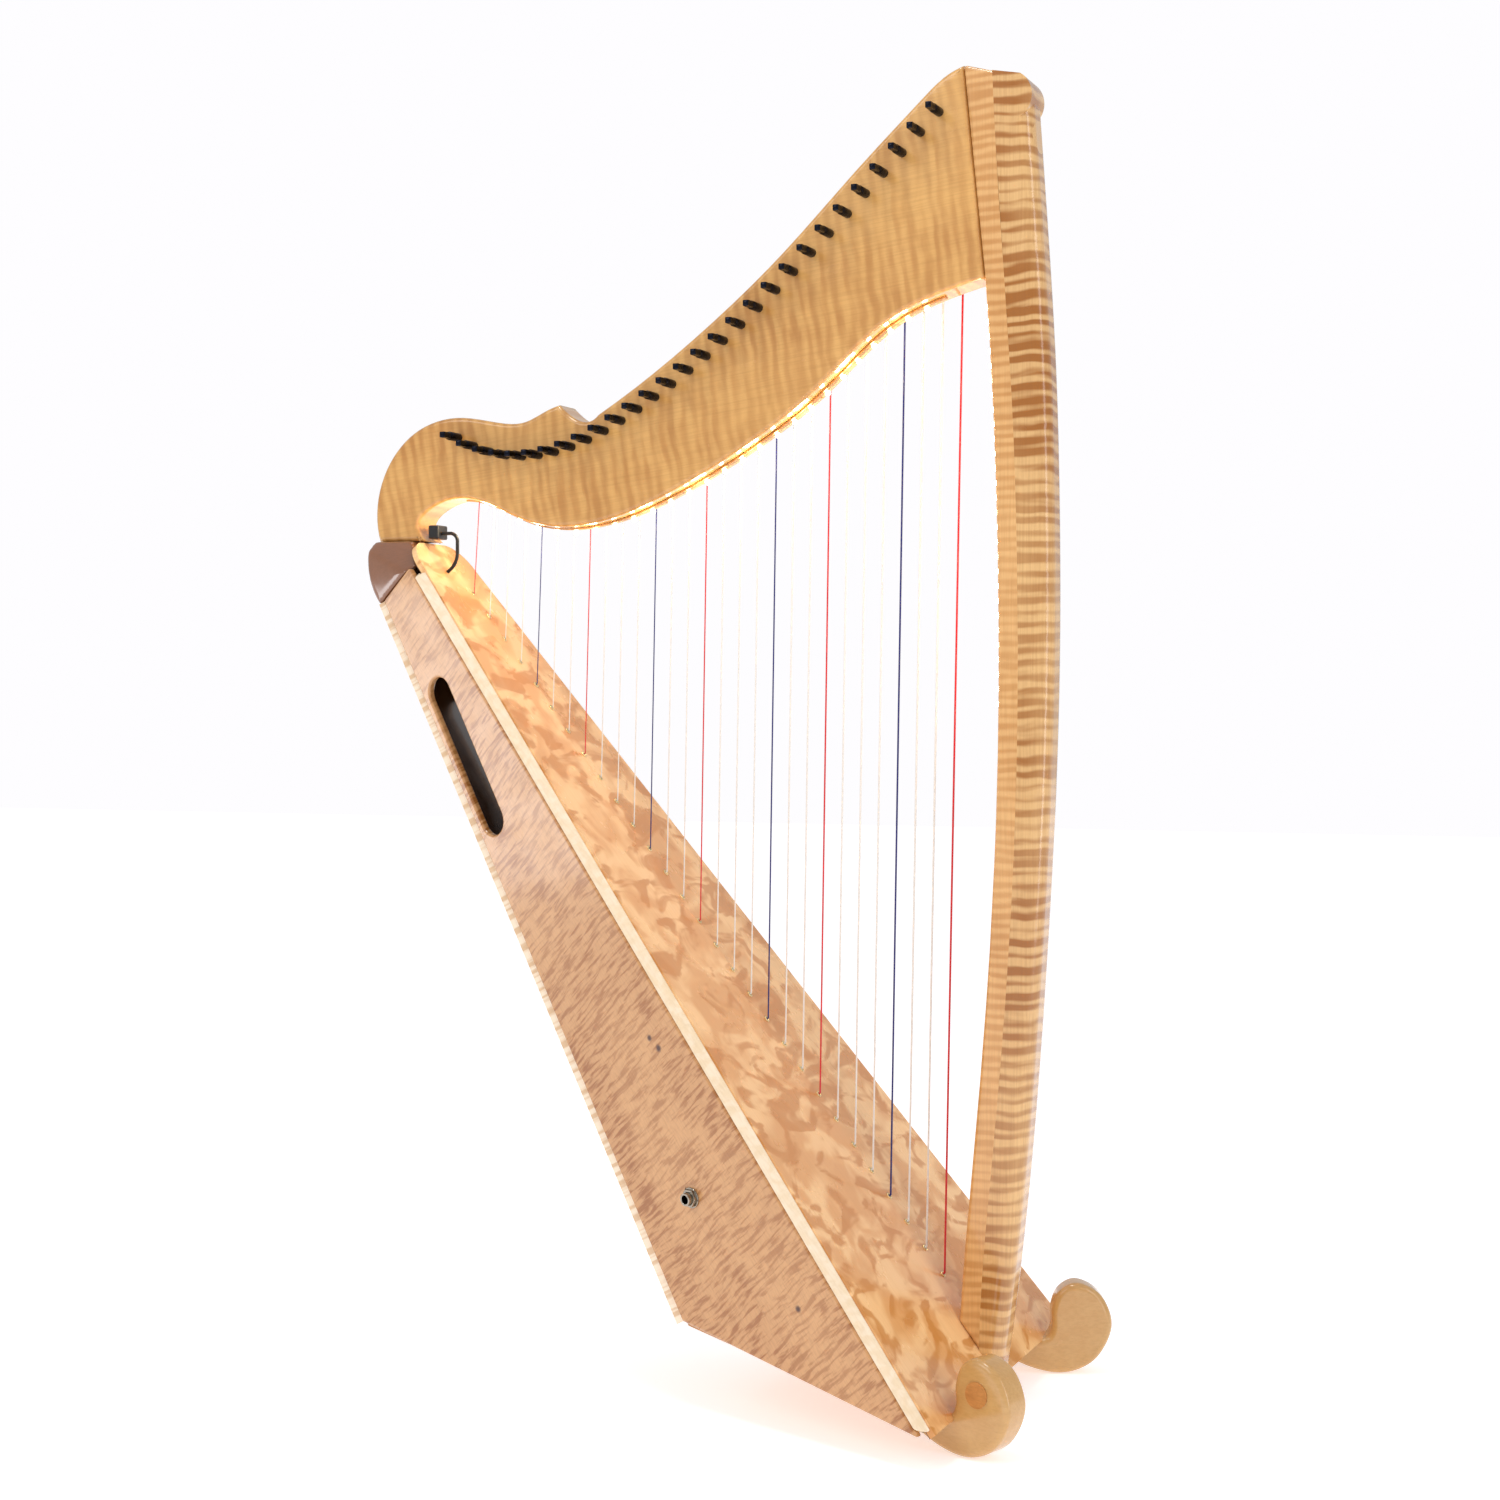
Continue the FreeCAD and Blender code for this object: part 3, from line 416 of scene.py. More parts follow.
def even(spots, step):
    """A closed run of points laid again at even steps, with its sharp corners kept."""
    ahead = np.roll(spots, -1, axis=0) - spots
    length = np.linalg.norm(ahead, axis=1)
    counts = np.maximum(1, np.round(length / step)).astype(int)
    parts = [spots[k] + ahead[k] * np.arange(n)[:, None] / n for k, n in enumerate(counts)]
    return np.concatenate(parts)


def worn_round(node, name, material, cell, passes):
    """A piece with a CAD node's form, cut into small cells and sanded round by smoothing."""
    mesh = bpy.data.meshes.new(name)
    work = merged_copy(node)
    work.to_mesh(mesh)
    work.free()
    piece = link(mesh, name, material)
    cells = piece.modifiers.new("cells", "REMESH")
    cells.mode = "VOXEL"
    cells.voxel_size = cell
    cells.use_smooth_shade = True
    sanding = piece.modifiers.new("sanding", "SMOOTH")
    sanding.factor = 0.5
    sanding.iterations = passes
    return piece


def rounded_plate(name, rim, across, half, radius, steps=6):
    """A flat piece with its edge rounded over to both faces.

    rim is the outline in the middle plane and across the plate's normal. Each row is the rim drawn
    in by radius * (1 - cosine) of an angle, and lifted to half - radius + radius * sine of it.
    """
    across = np.asarray(across, float) / np.linalg.norm(across)
    ahead = np.roll(rim, -1, axis=0) - rim
    ahead /= np.linalg.norm(ahead, axis=1)[:, None]
    behind = np.roll(ahead, 1, axis=0)
    normal = np.cross(ahead, across) + np.cross(behind, across)
    normal /= np.linalg.norm(normal, axis=1)[:, None]
    lean = np.clip(np.sum(normal * np.cross(ahead, across), axis=1), 0.5, 1.0)
    normal /= lean[:, None]
    middle = rim.mean(0)
    area = np.sum(np.cross(rim - middle, np.roll(rim, -1, axis=0) - middle) @ across)
    normal *= np.sign(area)
    angle = np.linspace(-np.pi / 2, np.pi / 2, 2 * steps)
    lift = (half - radius) * np.sign(angle) + radius * np.sin(angle)
    draw = radius * (1 - np.cos(angle))
    rows = rim[None] + lift[:, None, None] * across - draw[:, None, None] * normal[None]
    count = len(rim)
    faces = [tuple(face) for face in grid_faces(len(angle), count, closed=True).tolist()]
    first_axis = np.cross(across, (0.0, 0.0, 1.0))
    flat = np.stack([rows[0] @ first_axis, rows[0] @ np.cross(across, first_axis)], axis=1)
    cap = tessellate_polygon([[Vector((x, y, 0.0)) for x, y in flat]])
    faces += [tuple(face) for face in cap]
    faces += [tuple((len(angle) - 1) * count + k for k in face[::-1]) for face in cap]
    return filled(name, rows, faces)


def plate_piece(name, mesh, material, nodes):
    """A rounded plate as a piece whose flat faces stay flat in their shading."""
    piece = link(mesh, name, material)
    shading = piece.modifiers.new("shading", "WEIGHTED_NORMAL")
    shading.weight = 100
    return carry(piece, nodes)


def lumps(node):
    """The middle of each separate lump of a CAD node, in order from the treble."""
    work = merged_copy(node)
    work.verts.ensure_lookup_table()
    seen, middles = set(), []
    for vert in work.verts:
        if vert.index in seen:
            continue
        seen.add(vert.index)
        queue, lump = [vert], []
        while queue:
            here = queue.pop()
            lump.append(here.co.copy())
            for edge in here.link_edges:
                other = edge.other_vert(here)
                if other.index not in seen:
                    seen.add(other.index)
                    queue.append(other)
        spots = np.array(lump)
        middles.append((spots.min(0) + spots.max(0)) / 2)
    work.free()
    return np.array(sorted(middles, key=lambda middle: middle[0]))


# ---------------------------------------------------------------- node trees

def add(tree, kind, inputs=None, **settings):
    """A node with its settings; an input is a number, a colour or another node's socket."""
    made = tree.nodes.new(kind)
    for key, value in settings.items():
        setattr(made, key, value)
    feed(tree, made, inputs or {})
    return made


def feed(tree, made, inputs):
    """Fill a node's inputs, each with a number, a colour or another node's socket."""
    for key, value in inputs.items():
        if isinstance(value, bpy.types.NodeSocket):
            tree.links.new(value, made.inputs[key])
        else:
            made.inputs[key].default_value = value


def maths(tree, operation, first, second=0.0, third=0.0):
    """One sum on numbers."""
    sums = add(tree, "ShaderNodeMath", {0: first, 1: second, 2: third}, operation=operation)
    return sums.outputs[0]


def ranged(tree, value, low, high, to_low=0.0, to_high=1.0):
    """A number carried smoothly from one range to another and kept inside it."""
    made = add(tree, "ShaderNodeMapRange",
               {"Value": value, "From Min": low, "From Max": high, "To Min": to_low,
                "To Max": to_high}, interpolation_type="SMOOTHSTEP")
    return made.outputs[0]


def blended(tree, share, first, second):
    """Two colours blended by a share."""
    made = add(tree, "ShaderNodeMix", {0: share, 6: first, 7: second}, data_type="RGBA")
    return made.outputs[2]


def noise(tree, vector, scale, detail=2.0, rough=0.5, distortion=0.0):
    """Smooth noise of a vector."""
    made = add(tree, "ShaderNodeTexNoise",
               {"Vector": vector, "Scale": scale, "Detail": detail, "Roughness": rough,
                "Distortion": distortion})
    return made.outputs[0]


def stretched(tree, vector, factors):
    """A vector whose three parts are each multiplied."""
    made = add(tree, "ShaderNodeVectorMath", {0: vector, 1: factors}, operation="MULTIPLY")
    return made.outputs[0]


def place(tree):
    """The harp's own coordinates."""
    return add(tree, "ShaderNodeTexCoord").outputs["Object"]


def reach_along(tree, spot, direction):
    """How far a point lies along a direction."""
    return add(tree, "ShaderNodeVectorMath", {0: spot, 1: tuple(direction)},
               operation="DOT_PRODUCT").outputs["Value"]


def depth_under(tree, spot, point, away):
    """How deep a point lies below the plane through another point that faces away."""
    return maths(tree, "SUBTRACT", float(np.dot(point, away)), reach_along(tree, spot, away))


def new_group(name, numbers, results):
    """An empty node group that takes a vector and named numbers and gives named numbers."""
    tree = bpy.data.node_groups.new(name, "ShaderNodeTree")
    tree.interface.new_socket("Vector", in_out="INPUT", socket_type="NodeSocketVector")
    for label, value in numbers.items():
        socket = tree.interface.new_socket(label, in_out="INPUT", socket_type="NodeSocketFloat")
        socket.default_value = value
    for label in results:
        tree.interface.new_socket(label, in_out="OUTPUT", socket_type="NodeSocketFloat")
    return tree, tree.nodes.new("NodeGroupInput"), tree.nodes.new("NodeGroupOutput")


def curly_group():
    """Curly figure: stripes across the grain, fine fibres along it, and broad clouds of tone.

    The grain runs along the vector's X. Pitch is the stripes' spacing, Sway how far they wander,
    Reach how long a stripe is beside its spacing and Rarity how much of the wood stays light.
    """
    tree, given, out = new_group(
        "curly figure",
        {"Pitch": 0.009, "Sway": 0.5, "Reach": 6.0, "Sharpness": 0.5, "Evenness": 0.0,
         "Rarity": 0.0},
        ["Curl", "Fibre", "Cloud"])
    spot = given.outputs["Vector"]
    drift = noise(tree, stretched(tree, spot, (8.0, 26.0, 26.0)), 1.0, 1.5)
    push = maths(tree, "MULTIPLY", maths(tree, "SUBTRACT", drift, 0.5),
                 maths(tree, "MULTIPLY", given.outputs["Sway"], 0.05))
    pushed = add(tree, "ShaderNodeCombineXYZ", {"X": push}).outputs[0]
    moved = add(tree, "ShaderNodeVectorMath", {0: spot, 1: pushed}, operation="ADD").outputs[0]
    rate = maths(tree, "DIVIDE", 1.0, given.outputs["Pitch"])
    slow = maths(tree, "DIVIDE", rate, given.outputs["Reach"])
    rates = add(tree, "ShaderNodeCombineXYZ", {"X": rate, "Y": slow, "Z": slow}).outputs[0]
    scaled = add(tree, "ShaderNodeVectorMath", {0: moved, 1: rates}, operation="MULTIPLY")
    broken = noise(tree, scaled.outputs[0], 1.0, 2.0, 0.55, 0.3)
    bands = add(tree, "ShaderNodeTexWave",
                {"Vector": scaled.outputs[0], "Scale": 0.314, "Distortion": 5.0, "Detail": 2.0,
                 "Detail Scale": 0.8, "Detail Roughness": 0.6}, bands_direction="X")
    even_part = maths(tree, "MULTIPLY_ADD", bands.outputs["Fac"], 0.5, 0.25)
    lean = maths(tree, "SUBTRACT", even_part, broken)
    stripes = maths(tree, "MULTIPLY_ADD", lean, given.outputs["Evenness"], broken)
    half = maths(tree, "MULTIPLY_ADD", given.outputs["Sharpness"], -0.22, 0.26)
    middle = maths(tree, "ADD", 0.5, given.outputs["Rarity"])
    low = maths(tree, "SUBTRACT", middle, half)
    high = maths(tree, "ADD", middle, half)
    fibre = noise(tree, stretched(tree, spot, (22.0, 700.0, 700.0)), 1.0, 3.0, 0.6)
    cloud = noise(tree, stretched(tree, spot, (5.0, 16.0, 16.0)), 1.0, 2.0, 0.5, 0.4)
    feed(tree, out, {"Curl": ranged(tree, stripes, low, high),
                     "Fibre": ranged(tree, fibre, 0.35, 0.7),
                     "Cloud": ranged(tree, cloud, 0.3, 0.7)})


def quilt_group():
    """Quilted figure: swollen patches with soft dark creases, and flames drawn across them."""
    tree, given, out = new_group("quilted figure", {"Size": 0.02}, ["Patch", "Flame"])
    rate = maths(tree, "DIVIDE", 1.0, given.outputs["Size"])
    scaled = add(tree, "ShaderNodeVectorMath", {0: given.outputs["Vector"], "Scale": rate},
                 operation="SCALE").outputs[0]
    patches = noise(tree, stretched(tree, scaled, (1.0, 0.8, 1.0)), 0.7, 2.5, 0.5, 0.7)
    flames = noise(tree, stretched(tree, scaled, (1.5, 0.8, 1.0)), 0.75, 2.5, 0.5, 1.0)
    feed(tree, out, {"Patch": ranged(tree, patches, 0.40, 0.60),
                     "Flame": ranged(tree, flames, 0.48, 0.60)})


def lacquer_group():
    """Brushed lacquer: a slight ripple in height and small changes in roughness."""
    tree, given, out = new_group("lacquer", {"Smooth": 0.12, "Rough": 0.24},
                                 ["Roughness", "Height"])
    spot = given.outputs["Vector"]
    cloud = noise(tree, spot, 34.0, 3.0, 0.55)
    rough = add(tree, "ShaderNodeMapRange",
                {"Value": cloud, "From Min": 0.3, "From Max": 0.7,
                 "To Min": given.outputs["Smooth"], "To Max": given.outputs["Rough"]})
    feed(tree, out, {"Roughness": rough.outputs[0], "Height": noise(tree, spot, 90.0, 1.0)})


def knots_group():
    """Small round knots: a dark mask near each of a few spots of the harp."""
    tree, given, out = new_group("knots", {}, ["Knot"])
    total = None
    for spot, size in KNOTS:
        gap = add(tree, "ShaderNodeVectorMath", {0: given.outputs["Vector"], 1: spot},
                  operation="DISTANCE").outputs["Value"]
        mask = ranged(tree, gap, size, size * 0.25)
        total = mask if total is None else maths(tree, "MAXIMUM", total, mask)
    feed(tree, out, {"Knot": total})


def rear_strip_group():
    """The pale strip along the sides' rear edge: a mask close to the back's plane, with flecks."""
    tree, given, out = new_group("rear strip", {"Width": 0.006}, ["Strip", "Fleck"])
    spot = given.outputs["Vector"]
    edge = maths(tree, "SUBTRACT", depth_under(tree, spot, BACK_FOOT, BACK_OUT),
                 given.outputs["Width"])
    line = add(tree, "ShaderNodeCombineXYZ", {"X": reach_along(tree, spot, BACK_UP)}).outputs[0]
    fleck = noise(tree, line, 150.0, 2.0)
    feed(tree, out, {"Strip": ranged(tree, edge, 0.0005, -0.0005),
                     "Fleck": ranged(tree, fleck, 0.46, 0.58)})


def inner_face_group():
    """The sound box's inside: a mask for what lies deeper than a wall's finish from its outside,
    where painted shade goes.

    Each wall's plane gives a depth, the least of them is how deep a point is, and the side walls
    share one plane through the point's distance from the middle.
    """
    tree, given, out = new_group("inner face", {}, ["Inside"])
    parts = add(tree, "ShaderNodeSeparateXYZ", {0: given.outputs["Vector"]}).outputs
    width = maths(tree, "ABSOLUTE", parts[1])
    folded = add(tree, "ShaderNodeCombineXYZ",
                 {"X": parts[0], "Y": width, "Z": parts[2]}).outputs[0]
    least = None
    for point, away in wall_planes():
        depth = depth_under(tree, folded, point, away)
        least = depth if least is None else maths(tree, "MINIMUM", least, depth)
    feed(tree, out, {"Inside": ranged(tree, least, 0.0053, 0.0057)})


def wall_planes():
    """A point of each wall's outer face and the direction away from the box."""
    width = np.array([0.0, 1.0, 0.0])
    low = FRONT_FOOT + width * HALF_FRONT_FOOT
    high = FRONT_FOOT + width * HALF_FRONT_TOP + BOARD_UP * FRONT_LENGTH
    rear = BACK_FOOT + width * HALF_BACK_FOOT
    side = np.cross(high - low, rear - low)
    side *= np.sign(side[1]) / np.linalg.norm(side)
    return [(low, side), (low + BOARD_OUT * 0.001, BOARD_OUT), (BACK_FOOT, BACK_OUT)]


def group(tree, name, **inputs):
    """One of the shared groups, placed in a material."""
    return add(tree, "ShaderNodeGroup", inputs, node_tree=bpy.data.node_groups[name]).outputs


def material(name):
    """An empty material: its tree and its shader, already joined to the output."""
    made = bpy.data.materials.new(name)
    made.use_nodes = True
    tree = made.node_tree
    shader = next(n for n in tree.nodes if n.type == "BSDF_PRINCIPLED")
    return made, tree, shader


def grain_vector(tree, turn):
    """The harp's coordinates turned so that the grain runs along X."""
    return add(tree, "ShaderNodeMapping", {"Vector": place(tree), "Rotation": turn}).outputs[0]


def four(rgb):
    """A colour as the shaders take it, with nothing let through."""
    return (rgb[0], rgb[1], rgb[2], 1.0)


def lacquered(tree, shader, vector, smooth, rough, coat):
    """Add the lacquer's roughness, ripple and clear coat to a shader."""
    film = group(tree, "lacquer", Vector=vector, Smooth=smooth, Rough=rough)
    bump = add(tree, "ShaderNodeBump", {"Strength": 0.05, "Distance": 0.0006,
                                        "Height": film["Height"]})
    feed(tree, shader, {"Roughness": film["Roughness"], "Normal": bump.outputs[0],
                        "Coat Weight": coat, "Coat Roughness": 0.06})


def shade_painted_inside(tree, wood):
    """The wood with painted shade: the sound box's inside darkened to a dull brown."""
    mask = group(tree, "inner face", Vector=place(tree))["Inside"]
    # painted shade: this dull brown stands for the shade inside the box
    return blended(tree, mask, wood, four(linear(96, 62, 36)))


def pale_rear_edge(tree, wood):
    """The wood with its rear edge turned to a pale flecked strip, on faces that look sideways."""
    edge = group(tree, "rear strip", Vector=place(tree), Width=0.006)
    facing = add(tree, "ShaderNodeNewGeometry").outputs["True Normal"]
    sideways = add(tree, "ShaderNodeSeparateXYZ", {0: facing}).outputs[1]
    share = maths(tree, "MULTIPLY", edge["Strip"],
                  ranged(tree, maths(tree, "ABSOLUTE", sideways), 0.4, 0.6))
    pale = bpy.context.scene.harp_wood.binding_pale
    flecked = blended(tree, maths(tree, "MULTIPLY", edge["Fleck"], 0.85), four(pale),
                      four(np.array(pale) * (0.74, 0.58, 0.42)))
    return blended(tree, share, wood, flecked)


def curly_wood(name, light, dark, turn, pitch=0.009, sway=0.5, reach=6.0, strength=0.8,
               sharpness=0.5, evenness=0.0, rarity=0.0, knots=False, strip=False, inside=False,
               smooth=0.14, rough=0.28, coat=0.5):
    """Curly hardwood under lacquer: light wood with darker stripes, fibres and clouds, and painted
    shade inside the sound box when inside is set.
    """
    made, tree, shader = material(name)
    vector = grain_vector(tree, turn)
    figure = group(tree, "curly figure", Vector=vector, Pitch=pitch, Sway=sway, Reach=reach,
                   Sharpness=sharpness, Evenness=evenness, Rarity=rarity)
    patchy = maths(tree, "MULTIPLY_ADD", figure["Cloud"], 0.5, 0.5)
    share = maths(tree, "MULTIPLY", maths(tree, "MULTIPLY", figure["Curl"], patchy), strength)
    wood = blended(tree, share, four(light), four(dark))
    deeper = four(np.array(dark) * 0.72)
    wood = blended(tree, maths(tree, "MULTIPLY", figure["Fibre"], 0.22), wood, deeper)
    wood = blended(tree, maths(tree, "MULTIPLY", figure["Cloud"], 0.20), wood, four(dark))
    if knots:
        mask = group(tree, "knots", Vector=place(tree))["Knot"]
        wood = blended(tree, mask, wood, four(linear(74, 36, 16)))
    if strip:
        wood = pale_rear_edge(tree, wood)
    # inside: painted shade, the sound box's inside darkened to a dull brown
    if inside:
        wood = shade_painted_inside(tree, wood)
    feed(tree, shader, {"Base Color": wood})
    lacquered(tree, shader, vector, smooth, rough, coat)
    return made


def quilted_wood(name, light, dark, turn):
    """Quilted hardwood under lacquer: swollen light patches with darker flames between them."""
    made, tree, shader = material(name)
    vector = grain_vector(tree, turn)
    quilt = group(tree, "quilted figure", Vector=vector, Size=0.026)
    figure = group(tree, "curly figure", Vector=vector, Pitch=0.011, Sway=1.4, Reach=3.0)
    wood = blended(tree, maths(tree, "MULTIPLY", quilt["Patch"], 0.55), four(light), four(dark))
    wood = blended(tree, maths(tree, "MULTIPLY", quilt["Flame"], 0.75), wood,
                   four(np.array(dark) * 0.92))
    wood = blended(tree, maths(tree, "MULTIPLY", figure["Fibre"], 0.12), wood,
                   four(np.array(dark) * 0.7))
    # painted shade on the board's inner face
    feed(tree, shader, {"Base Color": shade_painted_inside(tree, wood)})
    lacquered(tree, shader, vector, 0.18, 0.32, 0.2)
    return made


def metal(name, base, rough_low, rough_high, brushed=(60.0, 60.0, 60.0)):
    """Bare or blued metal whose roughness and tone change a little over its surface."""
    made, tree, shader = material(name)
    scratch = noise(tree, stretched(tree, place(tree), brushed), 6.0, 3.0, 0.6)
    tone = blended(tree, ranged(tree, scratch, 0.35, 0.7), four(base),
                   four(np.array(base) * 0.7))
    feed(tree, shader, {"Base Color": tone, "Metallic": 1.0,
                        "Roughness": ranged(tree, scratch, 0.3, 0.7, rough_low, rough_high)})
    return made


def plastic(name, base, rough_low, rough_high):
    """Plain moulded or extruded plastic with a faint surface grain."""
    made, tree, shader = material(name)
    grit = noise(tree, place(tree), 500.0, 2.0)
    lift = add(tree, "ShaderNodeBump", {"Strength": 0.1, "Distance": 0.0002, "Height": grit})
    feed(tree, shader, {"Base Color": blended(tree, grit, four(base), four(np.array(base) * 0.8)),
                        "Roughness": ranged(tree, grit, 0.3, 0.7, rough_low, rough_high),
                        "Normal": lift.outputs[0]})
    return made


def nylon(name, base):
    """A nylon string: smooth, with a slight change of tone along it."""
    made, tree, shader = material(name)
    tone = noise(tree, stretched(tree, place(tree), (1.0, 1.0, 30.0)), 8.0, 2.0)
    dyed = blended(tree, ranged(tree, tone, 0.3, 0.7), four(base), four(np.array(base) * 0.92))
    feed(tree, shader, {"Base Color": dyed, "IOR": 1.53,
                        "Roughness": ranged(tree, tone, 0.3, 0.7, 0.18, 0.3)})
    return made


def glowing(name, base, strength):
    """A lamp's cap: patchy frosting, lighter in places, and it shines."""
    made, tree, shader = material(name)
    frost = noise(tree, place(tree), 260.0, 1.0)
    tone = blended(tree, ranged(tree, frost, 0.3, 0.7), four(base), (1.0, 0.93, 0.8, 1.0))
    feed(tree, shader, {"Base Color": tone, "Emission Color": tone, "Emission Strength": strength,
                        "Roughness": ranged(tree, frost, 0.3, 0.7, 0.2, 0.4)})
    return made


def made_once(name, maker):
    """The material of that name, made the first time that a piece asks for it."""
    return bpy.data.materials.get(name) or maker()


def along_xz(degrees):
    """The turn that carries a direction at that angle above +X, in the upright plane, onto X."""
    return (0.0, math.radians(degrees), 0.0)


def prepare_groups():
    """Build each shared node group once."""
    for name, maker in (("curly figure", curly_group), ("quilted figure", quilt_group),
                        ("lacquer", lacquer_group), ("knots", knots_group),
                        ("rear strip", rear_strip_group), ("inner face", inner_face_group)):
        if name not in bpy.data.node_groups:
            maker()


def side_wood():
    """The sides: fine crisp stripes, knots, the pale rear strip and painted shade inside the box."""
    wood = bpy.context.scene.harp_wood
    return made_once("curly side wood", lambda: curly_wood(
        "curly side wood", wood.side_light, wood.side_dark, along_xz(132.0), pitch=0.0028,
        sway=0.10, reach=7.0, strength=1.0, sharpness=0.7, rarity=0.04, knots=True,
        strip=True, inside=True))


def back_wood():
    """The back: broader stripes, with the pale strip along its side edges and painted shade inside
    the box.
    """
    wood = bpy.context.scene.harp_wood
    return made_once("curly back wood", lambda: curly_wood(
        "curly back wood", wood.side_light, wood.side_dark, along_xz(118.2), pitch=0.0042,
        sway=0.10, reach=8.0, strength=1.0, sharpness=0.6, strip=True, inside=True))


def plain_wood():
    """Unlacquered wood of a base that nobody sees."""
    wood = bpy.context.scene.harp_wood
    return made_once("plain hardwood", lambda: curly_wood(
        "plain hardwood", wood.side_light, wood.side_dark, along_xz(123.0), pitch=0.03,
        sway=0.4, reach=3.0, strength=0.25, smooth=0.4, rough=0.6, coat=0.0))


def steel():
    """The dark steel of every pin and bolt."""
    metals = bpy.context.scene.harp_metal
    return made_once("blued steel", lambda: metal("blued steel", metals.steel, 0.2, 0.38,
                                                  (20.0, 200.0, 20.0)))


# ---------------------------------------------------------------- operators

class HARP_OT_sound_box(bpy.types.Operator):
    """Finish the sound box: board, sides, back, base, rib, braces, bindings and top block"""

    bl_idname = "harp.sound_box"
    bl_label = "Sound box"

    def execute(self, context):
        wood = context.scene.harp_wood
        quilted = quilted_wood("quilted board wood", wood.board_light, wood.board_dark,
                               along_xz(127.6))
        binding = curly_wood("pale binding", wood.binding_pale,
                             np.array(wood.binding_pale) * (0.86, 0.78, 0.62), along_xz(127.6),
                             pitch=0.007, sway=0.5, reach=1.0, strength=0.7)
        # painted shade: the rib and braces inside the box take a dark brown that stands for its inner
        # shade
        shade_painted = curly_wood("stained inner wood", linear(110, 72, 42), linear(84, 54, 30),
                             along_xz(123.0), pitch=0.03, strength=0.5, smooth=0.5, rough=0.7,
                             coat=0.0)
        brown = curly_wood("brown block wood", wood.block_brown,
                           np.array(wood.block_brown) * 0.7, along_xz(20.0), pitch=0.02,
                           reach=3.0, strength=0.4, smooth=0.04, rough=0.1, coat=0.8)
        dress("soundboard", quilted)
        dress("base_board", plain_wood())
        for node in ("string_rib", "back_braces"):
            dress(node, shade_painted)
        dress("back_panel", back_wood())
        for side in ("right", "left"):
            soften("side_panel_" + side, "side_" + side, side_wood(), 0.0016,
                   smallest=0.02)
            soften("binding_" + side, "binding_strip_" + side, binding, 0.0022,
                   smallest=0.03)
        block = worn_round("top_block", "top_block_rounded", brown, 0.0011, wood.block_smooth)
        carry(block, ["top_block"])
        return {"FINISHED"}


class HARP_OT_neck(bpy.types.Operator):
    """Round the neck's edges and give it its flame"""

    bl_idname = "harp.neck"
    bl_label = "Neck"

    def execute(self, context):
        wood = context.scene.harp_wood
        flamed = curly_wood("flamed neck wood", wood.neck_light, wood.neck_dark, along_xz(8.0),
                            pitch=0.0090, sway=0.15, reach=4.0, strength=1.0, sharpness=0.3,
                            evenness=0.35)
        rim = outline("neck", lambda spot: spot.y < -0.012)
        rim[:, 1] = 0.0
        mesh = rounded_plate("neck_rounded", even(rim, 0.004), (0, 1, 0), FAR_FACE,
                             wood.edge_round)
        plate_piece("neck_rounded", mesh, flamed, ["neck"])
        return {"FINISHED"}


class HARP_OT_pillar(bpy.types.Operator):
    """Finish the pillar, its pale lamination, its plug and its bolt"""

    bl_idname = "harp.pillar"
    bl_label = "Pillar"

    def execute(self, context):
        wood = context.scene.harp_wood
        banded = curly_wood("banded pillar wood", wood.pillar_light, wood.pillar_dark,
                            along_xz(90.0), pitch=0.0095, sway=0.20, reach=7.0,
                            strength=1.1, sharpness=0.75, evenness=0.38)
        pale = curly_wood("pale lamination wood", wood.strip_light, wood.strip_dark,
                          along_xz(90.0), pitch=0.0075, sway=0.1, reach=5.0, strength=0.9,
                          sharpness=0.5, evenness=0.5)
        plug = curly_wood("plug wood", wood.pillar_light, wood.pillar_dark, along_xz(0.0),
                          pitch=0.02, strength=0.3)
        dress("pillar", banded)
        soften("pillar_lamination", "pillar_back_strip", pale, 0.0025,
               smallest=0.03, joint=(1, 0, 0))
        dress("pillar_plug", plug)
        dress("pillar_bolt", steel())
        return {"FINISHED"}


def smooth_run(corners, count):
    """A closed smooth curve through points: between two of them, the cubic of Catmull and Rom."""
    share = np.arange(count) / count * len(corners)
    cell = share.astype(int)
    t = (share - cell)[:, None]
    a, b, c, d = (corners[(cell + k) % len(corners)] for k in (-1, 0, 1, 2))
    return 0.5 * (2 * b + (c - a) * t + (2 * a - 5 * b + 4 * c - d) * t ** 2
                  + (3 * b - a - 3 * c + d) * t ** 3)


class HARP_OT_feet(bpy.types.Operator):
    """Round the feet and set their plain inlays"""

    bl_idname = "harp.feet"
    bl_label = "Feet"

    def execute(self, context):
        wood = context.scene.harp_wood
        pale = curly_wood("pale foot wood", wood.foot_pale,
                          np.array(wood.foot_pale) * (0.84, 0.72, 0.52), along_xz(0.0),
                          pitch=0.03, sway=0.8, reach=0.35, strength=0.45)
        inlay = curly_wood("inlay wood", linear(206, 142, 78), linear(150, 92, 44),
                           along_xz(0.0), pitch=0.01, reach=0.5, strength=0.4)
        for side in ("right", "left"):
            hand = -1.0 if side == "right" else 1.0
            forward = np.array([math.cos(FOOT_SPLAY), hand * math.sin(FOOT_SPLAY), 0.0])
            pivot = np.array([FOOT_PIVOT_X, hand * FOOT_PIVOT_Y, 0.0])
            rim = smooth_run(FOOT_OUTLINE, 110)
            rim = (pivot + (rim[:, :1] - FOOT_PIVOT_X) * forward
                   + rim[:, 1:] * np.array([0.0, 0.0, 1.0]))
            across = np.cross(forward, (0.0, 0.0, 1.0))
            mesh = rounded_plate("foot_rounded_" + side, rim, across, FOOT_HALF,
                                 wood.foot_round)
            plate_piece("foot_rounded_" + side, mesh, pale, ["foot_" + side])
        dress("foot_medallions", inlay)
        return {"FINISHED"}


